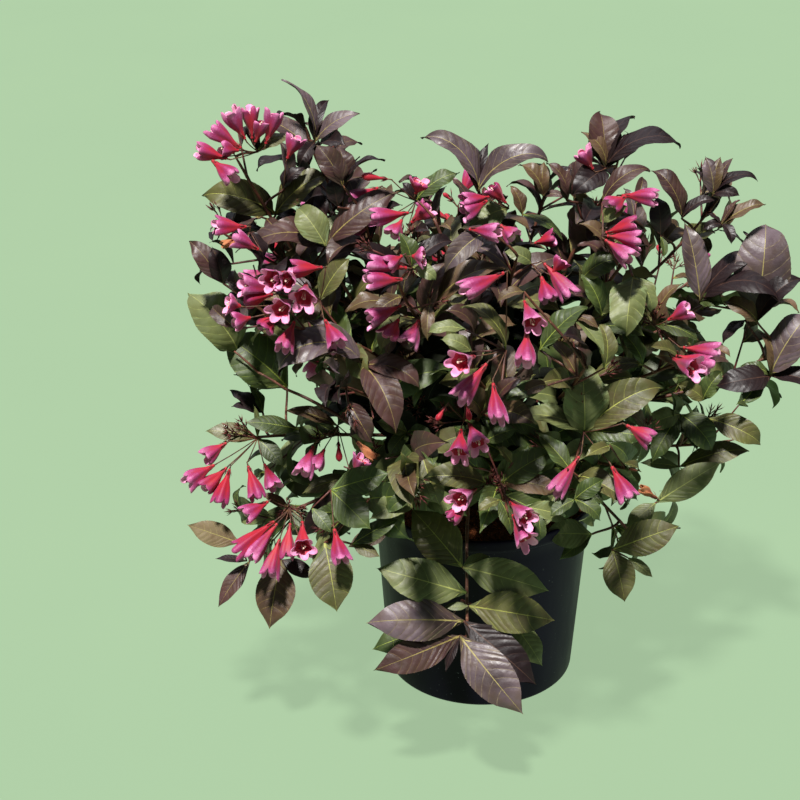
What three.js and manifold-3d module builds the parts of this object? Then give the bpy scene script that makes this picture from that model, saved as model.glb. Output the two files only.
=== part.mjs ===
// A weigela in flower, in its nursery pot: pot, compost, a short crown of old wood, its boughs and the leafy
// shoots that they carry. Millimetres, +Z up. The origin is the middle of the pot's flat underside, +X is to
// the right and -Y is the front, where one shoot hangs down over the pot.
import * as THREE from "three";
import { ConvexGeometry } from "three/addons/geometries/ConvexGeometry.js";
import { mergeVertices } from "three/addons/utils/BufferGeometryUtils.js";
import Module from "manifold-3d";

const wasm = await Module();
wasm.setup();

// ---------------------------------------------------------------- driving dimensions

const CLEAR = 0.3; // gap between pieces that touch
const FRAMES = 24; // the steps that a limb's curve is followed in
const SPREADING_ROUNDS = 80; // enough for limbs that leave one ball to settle clear of each other

// Radii, heights and thicknesses of the pot: a tapered wall under an outer rim band.
const POT = {
  height: 208,
  rim: 118,
  rimBand: 14,
  rimLip: 4,
  rimEdge: 1,
  shoulder: 113,
  base: 99,
  baseEdge: 3,
  wall: 2,
  floor: 3,
  sides: 24,
};
// The compost is flat round the crown, and swells into a ring before it falls to the wall. ringAt is how far
// from the flat to the wall the ring is, and ringHeight its share of the swell.
const COMPOST = { belowRim: 13, flat: 42, swell: 4, ringAt: 0.55, ringHeight: 0.4 };
// The crown of old wood: a flare at the compost, a neck, and a round head that the boughs leave. flareShape is
// how much of the flare is left at its top.
const CROWN = {
  flare: 26,
  flareHeight: 7,
  flareShape: 0.35,
  neck: 15,
  neckHeight: 17,
  head: 19,
  headHeight: 36,
  sides: 12,
};

const COMPOST_TOP = POT.height - COMPOST.belowRim;
const HEAD = new THREE.Vector3(0, 0, COMPOST_TOP + CLEAR + CROWN.headHeight);
const HEART = new THREE.Vector3(0, 0, 340); // the leaves turn their faces away from here

// Radii of the limbs. A bough climbs as it leaves the head, arches over to its fork, and swells there to a
// node that starts with a collar.
const BOUGH = { root: 3.9, tip: 2.5, node: 3.7, collar: 3, climb: 0.35, arch: 0.15, sides: 5, steps: 3 };
const STEM = { root: 2, tip: 1.3, sides: 3, steps: 4, curl: 0.5 };
const SPRIG = {
  root: 0.7,
  tip: 1,
  sides: 3,
  length: 50,
  longer: [0.8, 1.2],
  spread: 0.85,
  lift: 0.12,
  aboveLeaf: 5,
  leafShare: 0.72,
};

// Leaves stand in opposite pairs, each pair turned a right angle from the last. flatten is how far the pairs
// that would point at the sky turn to the side instead. The spreads are angles to the stem in radians, and
// jitter is how much they vary.
const PAIRS = {
  least: 3,
  bareFoot: 24,
  bareTip: 3,
  spacing: 44.5,
  turn: Math.PI / 2,
  flatten: 0.3,
  spreadOld: 1.25,
  spreadYoung: 0.85,
  jitter: 0.25,
};
// A leaf's width, fold and droop are shares of its length or half width, and so is each of the two corners a
// side of its outline, [along, across]. It is clear of its own stem's other leaves from ownFrom on. The
// youngest leaf of a stem is smaller by the share young.
const LEAF = {
  width: 0.55,
  thickness: 1.5,
  ribAt: 0.16,
  corners: [
    [0.42, 0.92],
    [0.7, 0.8],
  ],
  fold: 0.22,
  droop: 0.16,
  ownFrom: 0.14,
  young: 0.22,
  longer: [0.86, 1.12],
};
const FACING = { outwards: 0.75, up: 0.7, forwards: 0.25 };
const BLOOM = {
  length: 36,
  throat: 0.7,
  mouth: 10,
  sides: 5,
  spread: 0.75,
  outwards: 0.45,
  hang: 0.4,
  apart: 3,
  atTip: 3,
  onSprig: 2,
};

// Every bough runs from the crown's head to its fork, and each of its shoots from the fork to a tip, as
// [across, back, up]. leaf is the length of the shoot's largest leaves, blooms the number of its flowers, and
// rise says how steeply its tip climbs, or hangs where it is negative.
const BOUGHS = {
  left_top: {
    fork: [-119, 7, 404],
    shoots: {
      rosette: { tip: [-178, 10, 598], leaf: 81, blooms: 1, rise: 1.2 },
      bloom: { tip: [-245, -22, 580], leaf: 54, blooms: 6, rise: 0.7 },
      shelf: { tip: [-258, -52, 512], leaf: 73, blooms: 3, rise: 0.1 },
    },
  },
  left_mid: {
    fork: [-92, -58, 356],
    shoots: {
      cluster: { tip: [-212, -165, 478], leaf: 56, blooms: 6, rise: 0.2 },
      outlook: { tip: [-238, -60, 448], leaf: 71, blooms: 2, rise: 0.3 },
      veil: { tip: [-146, -215, 425], leaf: 88, blooms: 2, rise: -0.2 },
    },
  },
  left_low: {
    fork: [-92, -30, 283],
    shoots: {
      reach: { tip: [-230, -20, 402], leaf: 82, blooms: 0, rise: 0.5 },
      bells: { tip: [-262, -70, 296], leaf: 61, blooms: 5, rise: -0.3 },
      skirt: { tip: [-236, -112, 206], leaf: 76, blooms: 6, rise: -0.9 },
    },
  },
  front_left: {
    fork: [-56, -84, 292],
    shoots: {
      apron: { tip: [-152, -182, 250], leaf: 83, blooms: 2, rise: -0.7 },
      fan: { tip: [-85, -238, 365], leaf: 76, blooms: 1, rise: 0.1 },
    },
  },
  mid_top_left: {
    fork: [-60, -14, 368],
    shoots: {
      plume: { tip: [-122, -55, 532], leaf: 78, blooms: 5, rise: 0.8 },
      crest: { tip: [-48, 10, 515], leaf: 63, blooms: 2, rise: 1 },
      breast: { tip: [-88, -150, 500], leaf: 66, blooms: 4, rise: 0.3 },
    },
  },
  top: {
    fork: [-4, 14, 374],
    shoots: {
      rosette: { tip: [-8, 20, 548], leaf: 81, blooms: 3, rise: 1.2 },
      twin: { tip: [62, 62, 520], leaf: 68, blooms: 1, rise: 1 },
      brow: { tip: [24, -85, 500], leaf: 61, blooms: 3, rise: 0.5 },
    },
  },
  right_top: {
    fork: [72, 7, 381],
    shoots: {
      rosette: { tip: [126, 8, 568], leaf: 81, blooms: 2, rise: 1.2 },
      bloom: { tip: [142, -92, 528], leaf: 71, blooms: 4, rise: 0.4 },
      horn: { tip: [236, 55, 510], leaf: 66, blooms: 0, rise: 0.9 },
    },
  },
  right: {
    fork: [108, -4, 313],
    shoots: {
      shoulder: { tip: [266, 22, 448], leaf: 88, blooms: 0, rise: 0.8 },
      bells: { tip: [198, -122, 416], leaf: 66, blooms: 4, rise: 0 },
      reach: { tip: [304, 0, 368], leaf: 88, blooms: 0, rise: 0.6 },
    },
  },
  right_low: {
    fork: [84, -40, 262],
    shoots: {
      wing: { tip: [252, -38, 282], leaf: 78, blooms: 0, rise: 0.2 },
      skirt: { tip: [160, -100, 182], leaf: 73, blooms: 0, rise: -1 },
      cheek: { tip: [135, -195, 330], leaf: 66, blooms: 3, rise: 0 },
    },
  },
  front: {
    fork: [-10, -86, 298],
    shoots: {
      hanger: { tip: [-22, -202, 128], leaf: 87, blooms: 0, rise: -1.4, flat: 0.8 },
      bells: { tip: [12, -242, 312], leaf: 63, blooms: 5, rise: -0.3 },
      face: { tip: [2, -235, 425], leaf: 68, blooms: 4, rise: 0.3 },
    },
  },
  front_right: {
    fork: [46, -80, 322],
    shoots: {
      face: { tip: [80, -205, 440], leaf: 68, blooms: 3, rise: 0.3 },
      inner: { tip: [88, -215, 318], leaf: 73, blooms: 2, rise: -0.2 },
      lap: { tip: [-32, -160, 432], leaf: 66, blooms: 2, rise: 0.3 },
    },
  },
  back_left: {
    fork: [-68, 72, 322],
    shoots: {
      crest: { tip: [-150, 120, 470], leaf: 71, blooms: 2, rise: 0.9 },
      shelf: { tip: [-215, 150, 395], leaf: 73, blooms: 3, rise: 0.2 },
      skirt: { tip: [-150, 205, 275], leaf: 76, blooms: 1, rise: -0.6 },
    },
  },
  back: {
    fork: [0, 86, 312],
    shoots: {
      crest: { tip: [-28, 165, 445], leaf: 71, blooms: 2, rise: 0.9 },
      face: { tip: [20, 245, 370], leaf: 76, blooms: 4, rise: 0.1 },
      skirt: { tip: [-15, 222, 240], leaf: 78, blooms: 1, rise: -0.8 },
    },
  },
  back_right: {
    fork: [72, 72, 320],
    shoots: {
      crest: { tip: [110, 165, 462], leaf: 71, blooms: 2, rise: 0.9 },
      shelf: { tip: [225, 135, 385], leaf: 76, blooms: 2, rise: 0.3 },
      skirt: { tip: [165, 195, 262], leaf: 76, blooms: 1, rise: -0.6 },
    },
  },
};

// ---------------------------------------------------------------- colours and finishes

const FINISH = {
  pot: { color: 0x17181c, roughness: 0.42, metalness: 0 },
  compost: { color: 0x5b3320, roughness: 1, metalness: 0 },
  bark: { color: 0x6b4433, roughness: 0.85, metalness: 0 },
  foliage: { color: 0x4a4a2c, roughness: 0.5, metalness: 0 },
  foliageYoung: { color: 0x4b2c33, roughness: 0.5, metalness: 0 },
};
const materials = Object.fromEntries(
  Object.entries(FINISH).map(([name, finish]) => [name, new THREE.MeshStandardMaterial({ name, ...finish })]),
);

// ---------------------------------------------------------------- small tools

const UP = new THREE.Vector3(0, 0, 1);
const SIDEWAYS = new THREE.Vector3(0.31, 0.17, 0.93); // never along a stem, so it can square a frame to one
const vector = (xyz) => new THREE.Vector3(...xyz);
const mix = (from, to, share) => from + (to - from) * share;
const along = (point, direction, distance) => point.clone().addScaledVector(direction, distance);

// A number from 0 to 1 that three whole numbers choose: the same three always give the same one.
function chance(a, b, c) {
  const wave = Math.sin(a * 12.9898 + b * 78.233 + c * 37.719) * 43758.5453;
  return wave - Math.floor(wave);
}

// The part of a vector that is square to an axis, as a unit vector.
function squareTo(axis, direction) {
  return along(direction, axis, -direction.dot(axis)).normalize();
}

function solidFrom(points, triangles) {
  return new wasm.Manifold(
    new wasm.Mesh({
      numProp: 3,
      vertProperties: new Float32Array(points.flatMap((p) => [p.x, p.y, p.z])),
      triVerts: new Uint32Array(triangles.flat()),
    }),
  );
}

function solidOf(geometry) {
  const bare = new THREE.BufferGeometry().setAttribute("position", geometry.getAttribute("position"));
  const merged = mergeVertices(bare.setIndex(geometry.index), 1e-3);
  return new wasm.Manifold(
    new wasm.Mesh({
      numProp: 3,
      vertProperties: new Float32Array(merged.getAttribute("position").array),
      triVerts: new Uint32Array(merged.index.array),
    }),
  );
}

// The convex solid round a set of points.
const hull = (points) => solidOf(new ConvexGeometry(points));

function geometryFrom(solid) {
  const { vertProperties, triVerts } = solid.getMesh();
  const geometry = new THREE.BufferGeometry();
  geometry.setAttribute("position", new THREE.BufferAttribute(new Float32Array(vertProperties), 3));
  geometry.setIndex(new THREE.BufferAttribute(new Uint32Array(triVerts), 1));
  geometry.computeVertexNormals();
  return geometry;
}

function piece(name, geometry, material) {
  const mesh = new THREE.Mesh(geometry, material);
  mesh.name = name;
  return mesh;
}

// ---------------------------------------------------------------- pot, compost and crown

// A profile of [radius, height] pairs turned about the upright axis.
function turned(profile, sides) {
  const corners = profile.map(([radius, height]) => new THREE.Vector2(radius, height));
  return new THREE.LatheGeometry(corners, sides).rotateX(Math.PI / 2);
}

// The pot's inner radius at a height, below its rim band.
function potInside(height) {
  return mix(POT.base, POT.shoulder, height / (POT.height - POT.rimBand)) - POT.wall;
}

function potGeometry() {
  const bandFoot = POT.height - POT.rimBand;
  return turned(
    [
      [0, 0],
      [POT.base - POT.baseEdge, 0],
      [POT.base, POT.baseEdge],
      [POT.shoulder, bandFoot],
      [POT.rim - POT.rimEdge, bandFoot + POT.rimEdge],
      [POT.rim, POT.height],
      [POT.rim - POT.rimLip, POT.height],
      [potInside(bandFoot), bandFoot - POT.rimEdge],
      [potInside(POT.floor), POT.floor],
      [0, POT.floor],
    ],
    POT.sides,
  );
}

function compostGeometry() {
  const foot = POT.floor + CLEAR;
  const shore = potInside(COMPOST_TOP - COMPOST.swell) - 2 * CLEAR;
  return turned(
    [
      [0, foot],
      [potInside(foot) - 2 * CLEAR, foot],
      [shore, COMPOST_TOP - COMPOST.swell],
      [mix(COMPOST.flat, shore, COMPOST.ringAt), COMPOST_TOP + COMPOST.swell * COMPOST.ringHeight],
      [COMPOST.flat, COMPOST_TOP],
      [0, COMPOST_TOP],
    ],
    POT.sides,
  );
}

// ---------------------------------------------------------------- limbs and twigs

// Places along a curve that is drawn with a few straight lengths, each place with its tangent and the
// direction across it that turns as little as it can.
function framesAlong(curve, lengths) {
  let across = squareTo(curve.getTangentAt(0), SIDEWAYS);
  return Array.from({ length: FRAMES + 1 }, (_, step) => {
    const reached = (step * lengths) / FRAMES;
    const start = Math.min(Math.floor(reached), lengths - 1);
    const next = curve.getPointAt((start + 1) / lengths);
    const point = curve.getPointAt(start / lengths).lerp(next, reached - start);
    const tangent = curve.getTangentAt(step / FRAMES);
    across = squareTo(tangent, across);
    return { point, tangent, across };
  });
}

// The frame at a share of the way through frames.
function frameAt(frames, share) {
  const reached = share * (frames.length - 1);
  const start = Math.min(Math.floor(reached), frames.length - 2);
  const [from, to] = [frames[start], frames[start + 1]];
  const point = from.point.clone().lerp(to.point, reached - start);
  const tangent = from.tangent.clone().lerp(to.tangent, reached - start).normalize();
  return { point, tangent, across: squareTo(tangent, from.across) };
}

// The direction square to a frame's tangent at a turn about it.
function spokeOf(frame, turn) {
  const spoke = frame.across.clone().multiplyScalar(Math.cos(turn));
  return spoke.addScaledVector(frame.tangent.clone().cross(frame.across), Math.sin(turn));
}

// The corners round a frame at a radius. turn is where the middle of the first side faces.
function ring(frame, radius, sides, turn) {
  return Array.from({ length: sides }, (_, side) => {
    const corner = turn + (2 * Math.PI * (side - 0.5)) / sides;
    return along(frame.point, spokeOf(frame, corner), radius);
  });
}

// A closed limb through frames, from its first to its last: a ring of corners at every few of them, with a
// flat cut at each end.
function limb(frames, radiusAt, sides, steps, turn = 0) {
  const points = [];
  for (let step = 0; step <= steps; step += 1) {
    const frame = frames[Math.round((step * (frames.length - 1)) / steps)];
    points.push(...ring(frame, radiusAt(step / steps), sides, turn));
  }
  const triangles = [];
  for (let step = 0; step < steps; step += 1) {
    for (let side = 0; side < sides; side += 1) {
      const a = step * sides + side;
      const b = step * sides + ((side + 1) % sides);
      triangles.push([a, b, b + sides], [a, b + sides, a + sides]);
    }
  }
  const last = steps * sides;
  for (let side = 1; side < sides - 1; side += 1) {
    triangles.push([0, side + 1, side], [last, last + side, last + side + 1]);
  }
  return solidFrom(points, triangles);
}

// The corners of the facet that a limb sits on, just clear of its root.
function facetUnder(frames, radius, sides, turn = 0) {
  return ring(frames[0], radius, sides, turn).map((corner) => along(corner, frames[0].tangent, -CLEAR));
}

// The two frames of a straight twig.
function straightFrames(from, to) {
  const tangent = to.clone().sub(from).normalize();
  const across = squareTo(tangent, SIDEWAYS);
  return [
    { point: from, tangent, across },
    { point: to, tangent, across },
  ];
}

// From one point to another, leaving in one direction and arriving in another.
function bend(from, leaving, to, arriving) {
  const third = from.distanceTo(to) / 3;
  return new THREE.CubicBezierCurve3(from, along(from, leaving, third), along(to, arriving, -third), to);
}

// Turns directions away from each other, a little at a time, until no two are closer than an angle.
function spreadOut(directions, angle) {
  const spread = directions.map((direction) => direction.clone().normalize());
  for (let round = 0; round < SPREADING_ROUNDS; round += 1) {
    spread.forEach((one, index) => {
      for (const other of spread.slice(index + 1)) {
        const short = angle - one.angleTo(other);
        if (short <= 0) continue;
        const apart = one.clone().sub(other).setLength(0.5 * short);
        one.add(apart).normalize();
        other.sub(apart).normalize();
      }
    });
  }
  return spread;
}

// How far apart two round limbs leave a ball.
const angleFor = (radius, ball) => 2 * Math.asin((radius + CLEAR) / (ball + CLEAR));

const boughs = Object.entries(BOUGHS).map(([name, bough]) => ({ name, ...bough, fork: vector(bough.fork) }));
const rootDirections = spreadOut(
  boughs.map((bough) => bough.fork.clone().sub(HEAD).normalize().addScaledVector(UP, BOUGH.climb)),
  angleFor(BOUGH.root, CROWN.head),
);
boughs.forEach((bough, index) => {
  const leaving = rootDirections[index];
  const arriving = bough.fork.clone().sub(HEAD).normalize().addScaledVector(UP, -BOUGH.arch).normalize();
  const curve = bend(along(HEAD, leaving, CROWN.head + CLEAR), leaving, bough.fork, arriving);
  bough.frames = framesAlong(curve, BOUGH.steps);
  bough.arriving = arriving;
});

// The shoots of a fork leave it well apart from each other and from the bough.
const shoots = boughs.flatMap((bough) => {
  const entries = Object.entries(bough.shoots);
  const straight = entries.map(([, shoot]) => vector(shoot.tip).sub(bough.fork).normalize());
  const bentBack = bough.arriving.clone().negate();
  const [, ...leaving] = spreadOut([bentBack, ...straight], angleFor(STEM.root + CLEAR, BOUGH.node));
  return entries.map(([name, shoot], index) => {
    const tip = vector(shoot.tip);
    const arriving = straight[index].clone().addScaledVector(UP, STEM.curl * shoot.rise).normalize();
    const start = along(bough.fork, leaving[index], BOUGH.node + CLEAR);
    const curve = bend(start, leaving[index], tip, arriving);
    const frames = framesAlong(curve, STEM.steps);
    return { ...shoot, bough, name: `shoots_${bough.name}_${name}`, length: curve.getLength(), frames };
  });
});
shoots.forEach((shoot, index) => {
  shoot.number = index + 1;
  shoot.phase = Math.PI * chance(shoot.number, 0, 9);
});

// The flared neck, and on it a head with a facet for each bough.
function growCrown() {
  const foot = COMPOST_TOP + CLEAR;
  const neck = turned(
    [
      [0, foot],
      [CROWN.flare, foot],
      [mix(CROWN.neck, CROWN.flare, CROWN.flareShape), foot + CROWN.flareHeight],
      [CROWN.neck, foot + CROWN.neckHeight],
      [CROWN.neck, HEAD.z],
      [0, HEAD.z],
    ],
    CROWN.sides,
  );
  const chin = HEAD.z - Math.sqrt(CROWN.head ** 2 - CROWN.neck ** 2);
  const collar = { point: new THREE.Vector3(0, 0, chin), tangent: UP, across: squareTo(UP, SIDEWAYS) };
  const facets = boughs.flatMap((bough) => facetUnder(bough.frames, BOUGH.root, BOUGH.sides));
  const head = hull([...ring(collar, CROWN.neck + 1, CROWN.sides, 0), ...facets]);
  return solidOf(neck).add(head);
}

// A bough tapers to its fork, and has a node there with a facet for each shoot.
function growBough(bough) {
  const stalk = limb(bough.frames, (share) => mix(BOUGH.root, BOUGH.tip, share), BOUGH.sides, BOUGH.steps);
  const end = bough.frames[FRAMES];
  const collar = { ...end, point: along(end.point, end.tangent, -BOUGH.collar) };
  const facets = shoots
    .filter((shoot) => shoot.bough === bough)
    .flatMap((shoot) => facetUnder(shoot.frames, STEM.root, STEM.sides, shoot.phase));
  return stalk.add(hull([...ring(collar, BOUGH.collar, BOUGH.sides, 0), ...facets]));
}

// ---------------------------------------------------------------- leaves and flowers

// The direction that leaves a stem at an angle to it, on the side that the turn about it says.
function branching(frame, turn, angle) {
  const direction = frame.tangent.clone().multiplyScalar(Math.cos(angle));
  return direction.addScaledVector(spokeOf(frame, turn), Math.sin(angle));
}

// The direction from the heart of the shrub to a point.
const outwardsAt = (point) => point.clone().sub(HEART).normalize();

// A leaf's upper face turns up, outwards and a little to the tip of its stem.
function leafFace(frame, direction) {
  const face = outwardsAt(frame.point).multiplyScalar(FACING.outwards).addScaledVector(UP, FACING.up);
  return squareTo(direction, face.addScaledVector(frame.tangent, FACING.forwards));
}

// A leaf as a thin blade: a point sunk in its twig, four corners, a tip, and a midrib that stands out of both
// faces. It is folded along the midrib and bent down to its tip. swollen grows it, for testing the room round
// it, and foot is where along it the blade starts.
function leafBlade(leaf, swollen = 0, foot = 0) {
  const { base, direction, face, length } = leaf;
  const side = face.clone().cross(direction);
  const halfWidth = (LEAF.width * length) / 2;
  const at = (share, across, lift) => {
    const point = along(base, direction, share * length);
    const raised = LEAF.fold * halfWidth * Math.abs(across) - LEAF.droop * length * share ** 2;
    return point.addScaledVector(side, across * (halfWidth + swollen)).addScaledVector(face, lift + raised);
  };
  const rib = LEAF.thickness / 2 + swollen;
  const points = [
    at(foot, 0, 0),
    at(LEAF.ribAt, 0, rib),
    at(LEAF.ribAt, 0, -rib),
    ...LEAF.corners.map(([share, across]) => at(share, across, 0)),
    ...LEAF.corners.map(([share, across]) => at(share, -across, 0)),
    at(1 + swollen / length, 0, 0),
  ];
  const [root, ribTop, ribUnder, left1, left2, right1, right2, tip] = points.keys();
  const rim = [root, right1, right2, tip, left2, left1];
  const triangles = rim.flatMap((corner, index) => {
    const next = rim[(index + 1) % rim.length];
    return [
      [corner, next, ribTop],
      [next, corner, ribUnder],
    ];
  });
  return solidFrom(points, triangles);
}

// A funnel-shaped flower with an open mouth, narrowing to a point inside its twig.
function trumpet(base, direction) {
  const first = squareTo(direction, SIDEWAYS);
  const second = direction.clone().cross(first);
  const points = [base, along(base, direction, BLOOM.throat * BLOOM.length)];
  const triangles = [];
  for (let corner = 0; corner < BLOOM.sides; corner += 1) {
    const angle = (2 * Math.PI * corner) / BLOOM.sides;
    const rim = along(base, direction, BLOOM.length).addScaledVector(first, BLOOM.mouth * Math.cos(angle));
    points.push(rim.addScaledVector(second, BLOOM.mouth * Math.sin(angle)));
    const here = 2 + corner;
    const next = 2 + ((corner + 1) % BLOOM.sides);
    triangles.push([0, next, here], [1, here, next]);
  }
  return solidFrom(points, triangles);
}

// ---------------------------------------------------------------- the room that each shoot keeps to

// A point belongs to the shoot whose stem is nearest.
function ownerOf(point) {
  let owner = null;
  let least = Infinity;
  for (const shoot of shoots) {
    for (const frame of shoot.frames) {
      const distance = point.distanceToSquared(frame.point);
      if (distance < least) {
        least = distance;
        owner = shoot;
      }
    }
  }
  return owner;
}

function boxOf(solid) {
  const { min, max } = solid.boundingBox();
  return new THREE.Box3(vector(min), vector(max));
}

const standing = []; // what is already in place: { solid, box, owner }
function stand(solid, owner) {
  standing.push({ solid, box: boxOf(solid), owner });
}

// Whether a solid is clear of everything in place that the filter picks.
function isClear(solid, picks) {
  const box = boxOf(solid);
  const near = standing.filter((other) => picks(other) && box.intersectsBox(other.box));
  return near.every((other) => solid.intersect(other.solid).isEmpty());
}

// ---------------------------------------------------------------- growing one mass of foliage

const CLIMBING = 0.7; // a shoot that rises as steeply as this has young, dark leaves
const SHORTER = [1, 0.82, 0.66]; // the lengths that a leaf is tried at before it is skipped
const TILTS = [0, 0.4, -0.4]; // and how far it is turned towards its face at each of them

// The first blade that has room, among a leaf's own place and a few beside it.
function growLeaf(shoot, leaf) {
  const { base } = leaf;
  for (const share of SHORTER) {
    for (const tilt of TILTS) {
      const length = leaf.length * share;
      const direction = leaf.direction.clone().addScaledVector(leaf.face, tilt).normalize();
      const tried = { base, direction, face: squareTo(direction, leaf.face), length };
      const places = [along(base, direction, length / 2), along(base, direction, length)];
      if (places.some((place) => ownerOf(place) !== shoot)) continue;
      if (!isClear(leafBlade(tried, CLEAR), (other) => other.owner !== shoot)) continue;
      if (!isClear(leafBlade(tried, CLEAR, LEAF.ownFrom), (other) => other.owner === shoot)) continue;
      return leafBlade(tried);
    }
  }
  return null;
}

// A pair of leaves at a place on a stem, one on each side of it.
function leafPair(shoot, number, frame, turn, length, angle) {
  const sky = squareTo(frame.tangent, outwardsAt(frame.point).addScaledVector(UP, 1));
  const flatten = shoot.flat ?? PAIRS.flatten;
  const grown = [];
  for (const side of [0, 1]) {
    const spread = angle + PAIRS.jitter * (chance(shoot.number, number, side) - 0.5);
    const direction = branching(frame, turn + side * Math.PI, spread);
    direction.addScaledVector(sky, -flatten * direction.dot(sky)).normalize();
    const blade = growLeaf(shoot, {
      base: frame.point,
      direction,
      face: leafFace(frame, direction),
      length: length * mix(...LEAF.longer, chance(shoot.number, number, side + 2)),
    });
    if (blade) {
      stand(blade, shoot);
      grown.push(blade);
    }
  }
  return grown;
}

// Flowers round the end of a stem or sprig, each a little further back along it than the last.
function growBlooms(shoot, number, frame, count) {
  const grown = [];
  for (let bloom = 0; bloom < count; bloom += 1) {
    const base = along(frame.point, frame.tangent, -BLOOM.apart * bloom);
    const turn = 2 * Math.PI * (bloom / count + chance(shoot.number, number, 7));
    const direction = branching(frame, turn, BLOOM.spread);
    direction.addScaledVector(outwardsAt(base), BLOOM.outwards).addScaledVector(UP, -BLOOM.hang).normalize();
    const flower = trumpet(base, direction);
    const tested = trumpet(along(base, direction, 2 * BLOOM.apart), direction);
    if (!isClear(flower, (other) => other.owner !== shoot)) continue;
    if (!isClear(tested, (other) => other.owner === shoot)) continue;
    stand(flower, shoot);
    grown.push(flower);
  }
  return grown;
}

// A side twig out of a leaf's axil, with a pair of leaves at its tip and flowers where it bears them.
function growSprig(shoot, number, frame, turn, blooms) {
  const direction = branching(frame, turn, SPRIG.spread).addScaledVector(UP, SPRIG.lift).normalize();
  const base = along(frame.point, frame.tangent, SPRIG.aboveLeaf);
  const length = SPRIG.length * mix(...SPRIG.longer, chance(shoot.number, number, 5));
  const frames = straightFrames(base, along(base, direction, length));
  const seat = frameAt(frames, 1 - PAIRS.bareTip / length);
  if (ownerOf(seat.point) !== shoot) return [];
  const room = straightFrames(along(base, direction, 2 * STEM.root), seat.point);
  if (!isClear(limb(room, () => SPRIG.tip + CLEAR, SPRIG.sides, 1), () => true)) return [];
  const twig = limb(frames, (share) => mix(SPRIG.root, SPRIG.tip, share), SPRIG.sides, 1);
  stand(twig, shoot);
  const flowers = growBlooms(shoot, number, seat, blooms);
  const leafLength = SPRIG.leafShare * shoot.leaf;
  const leaves = leafPair(shoot, number, seat, turn + PAIRS.turn, leafLength, PAIRS.spreadYoung);
  return [twig, ...flowers, ...leaves];
}

// A shoot's stem with its leaf pairs, a sprig at every second pair, and its flowers, joined into one solid.
function growMass(shoot) {
  const pairs = Math.max(PAIRS.least, Math.round((shoot.length - PAIRS.bareFoot) / PAIRS.spacing) + 1);
  const parts = [shoot.stem];
  let flowersLeft = shoot.blooms;
  for (let pair = pairs - 1; pair >= 0; pair -= 1) {
    const youth = pair / (pairs - 1);
    const place = mix(PAIRS.bareFoot, shoot.length - PAIRS.bareTip, youth);
    const frame = frameAt(shoot.frames, place / shoot.length);
    const turn = shoot.phase + pair * PAIRS.turn;
    const angle = mix(PAIRS.spreadOld, PAIRS.spreadYoung, youth * youth);
    const size = shoot.leaf * (1 - LEAF.young * youth * youth);
    if (pair === pairs - 1 && flowersLeft > 0) {
      const count = Math.min(BLOOM.atTip, flowersLeft);
      parts.push(...growBlooms(shoot, pair, frame, count));
      flowersLeft -= count;
    }
    parts.push(...leafPair(shoot, pair, frame, turn, size, angle));
    if (pair < pairs - 1 && pair % 2 === 1) {
      const count = Math.min(BLOOM.onSprig, flowersLeft);
      const side = chance(shoot.number, pair, 4) < 0.5 ? 0 : Math.PI;
      let sprig = growSprig(shoot, 20 + pair, frame, turn + side, count);
      if (!sprig.length) sprig = growSprig(shoot, 20 + pair, frame, turn + side + Math.PI, count);
      if (sprig.length) flowersLeft -= count;
      parts.push(...sprig);
    }
  }
  const whole = wasm.Manifold.union(parts);
  return whole.decompose().sort((a, b) => b.volume() - a.volume())[0];
}

// ---------------------------------------------------------------- assembly

const weigela = new THREE.Group();
weigela.name = "weigela";

for (const [name, solid, material] of [
  ["pot", solidOf(potGeometry()), materials.pot],
  ["compost", solidOf(compostGeometry()), materials.compost],
  ["crown", growCrown(), materials.bark],
  ...boughs.map((bough) => [`bough_${bough.name}`, growBough(bough), materials.bark]),
]) {
  weigela.add(piece(name, geometryFrom(solid), material));
  stand(solid, name);
}

for (const shoot of shoots) {
  const radiusAt = (share) => mix(STEM.root, STEM.tip, share);
  shoot.stem = limb(shoot.frames, radiusAt, STEM.sides, STEM.steps, shoot.phase);
  stand(shoot.stem, shoot);
}

for (const shoot of shoots) {
  const material = shoot.rise >= CLIMBING ? materials.foliageYoung : materials.foliage;
  weigela.add(piece(shoot.name, geometryFrom(growMass(shoot)), material));
}

export default weigela;
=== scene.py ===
"""The looks of a weigela in flower in its nursery pot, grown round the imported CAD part.

The boughs and shoots follow the same rule as the solids: every bough leaves the head of the crown for its
fork, and every shoot the fork for its tip. Here the shoots carry more pairs of leaves, side twigs and flowers,
each with its own relief. Lengths in the growing rule are millimetres, and the meshes are made in metres.
"""

import math
import random

import bpy
import numpy as np
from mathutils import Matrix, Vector


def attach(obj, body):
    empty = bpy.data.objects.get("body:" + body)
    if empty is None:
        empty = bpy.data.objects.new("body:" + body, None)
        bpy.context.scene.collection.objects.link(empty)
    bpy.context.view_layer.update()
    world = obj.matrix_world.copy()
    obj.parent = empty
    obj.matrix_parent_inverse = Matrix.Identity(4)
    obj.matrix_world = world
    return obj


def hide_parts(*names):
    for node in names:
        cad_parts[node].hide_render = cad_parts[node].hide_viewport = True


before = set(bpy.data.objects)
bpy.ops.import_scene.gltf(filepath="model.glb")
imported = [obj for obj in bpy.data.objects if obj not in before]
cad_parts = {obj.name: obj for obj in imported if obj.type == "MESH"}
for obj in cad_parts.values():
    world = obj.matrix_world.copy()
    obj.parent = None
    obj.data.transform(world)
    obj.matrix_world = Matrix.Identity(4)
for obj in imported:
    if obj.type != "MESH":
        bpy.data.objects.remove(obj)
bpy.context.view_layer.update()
MM = 0.001

# ---------------------------------------------------------------- sizes that the solids have too

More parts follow.
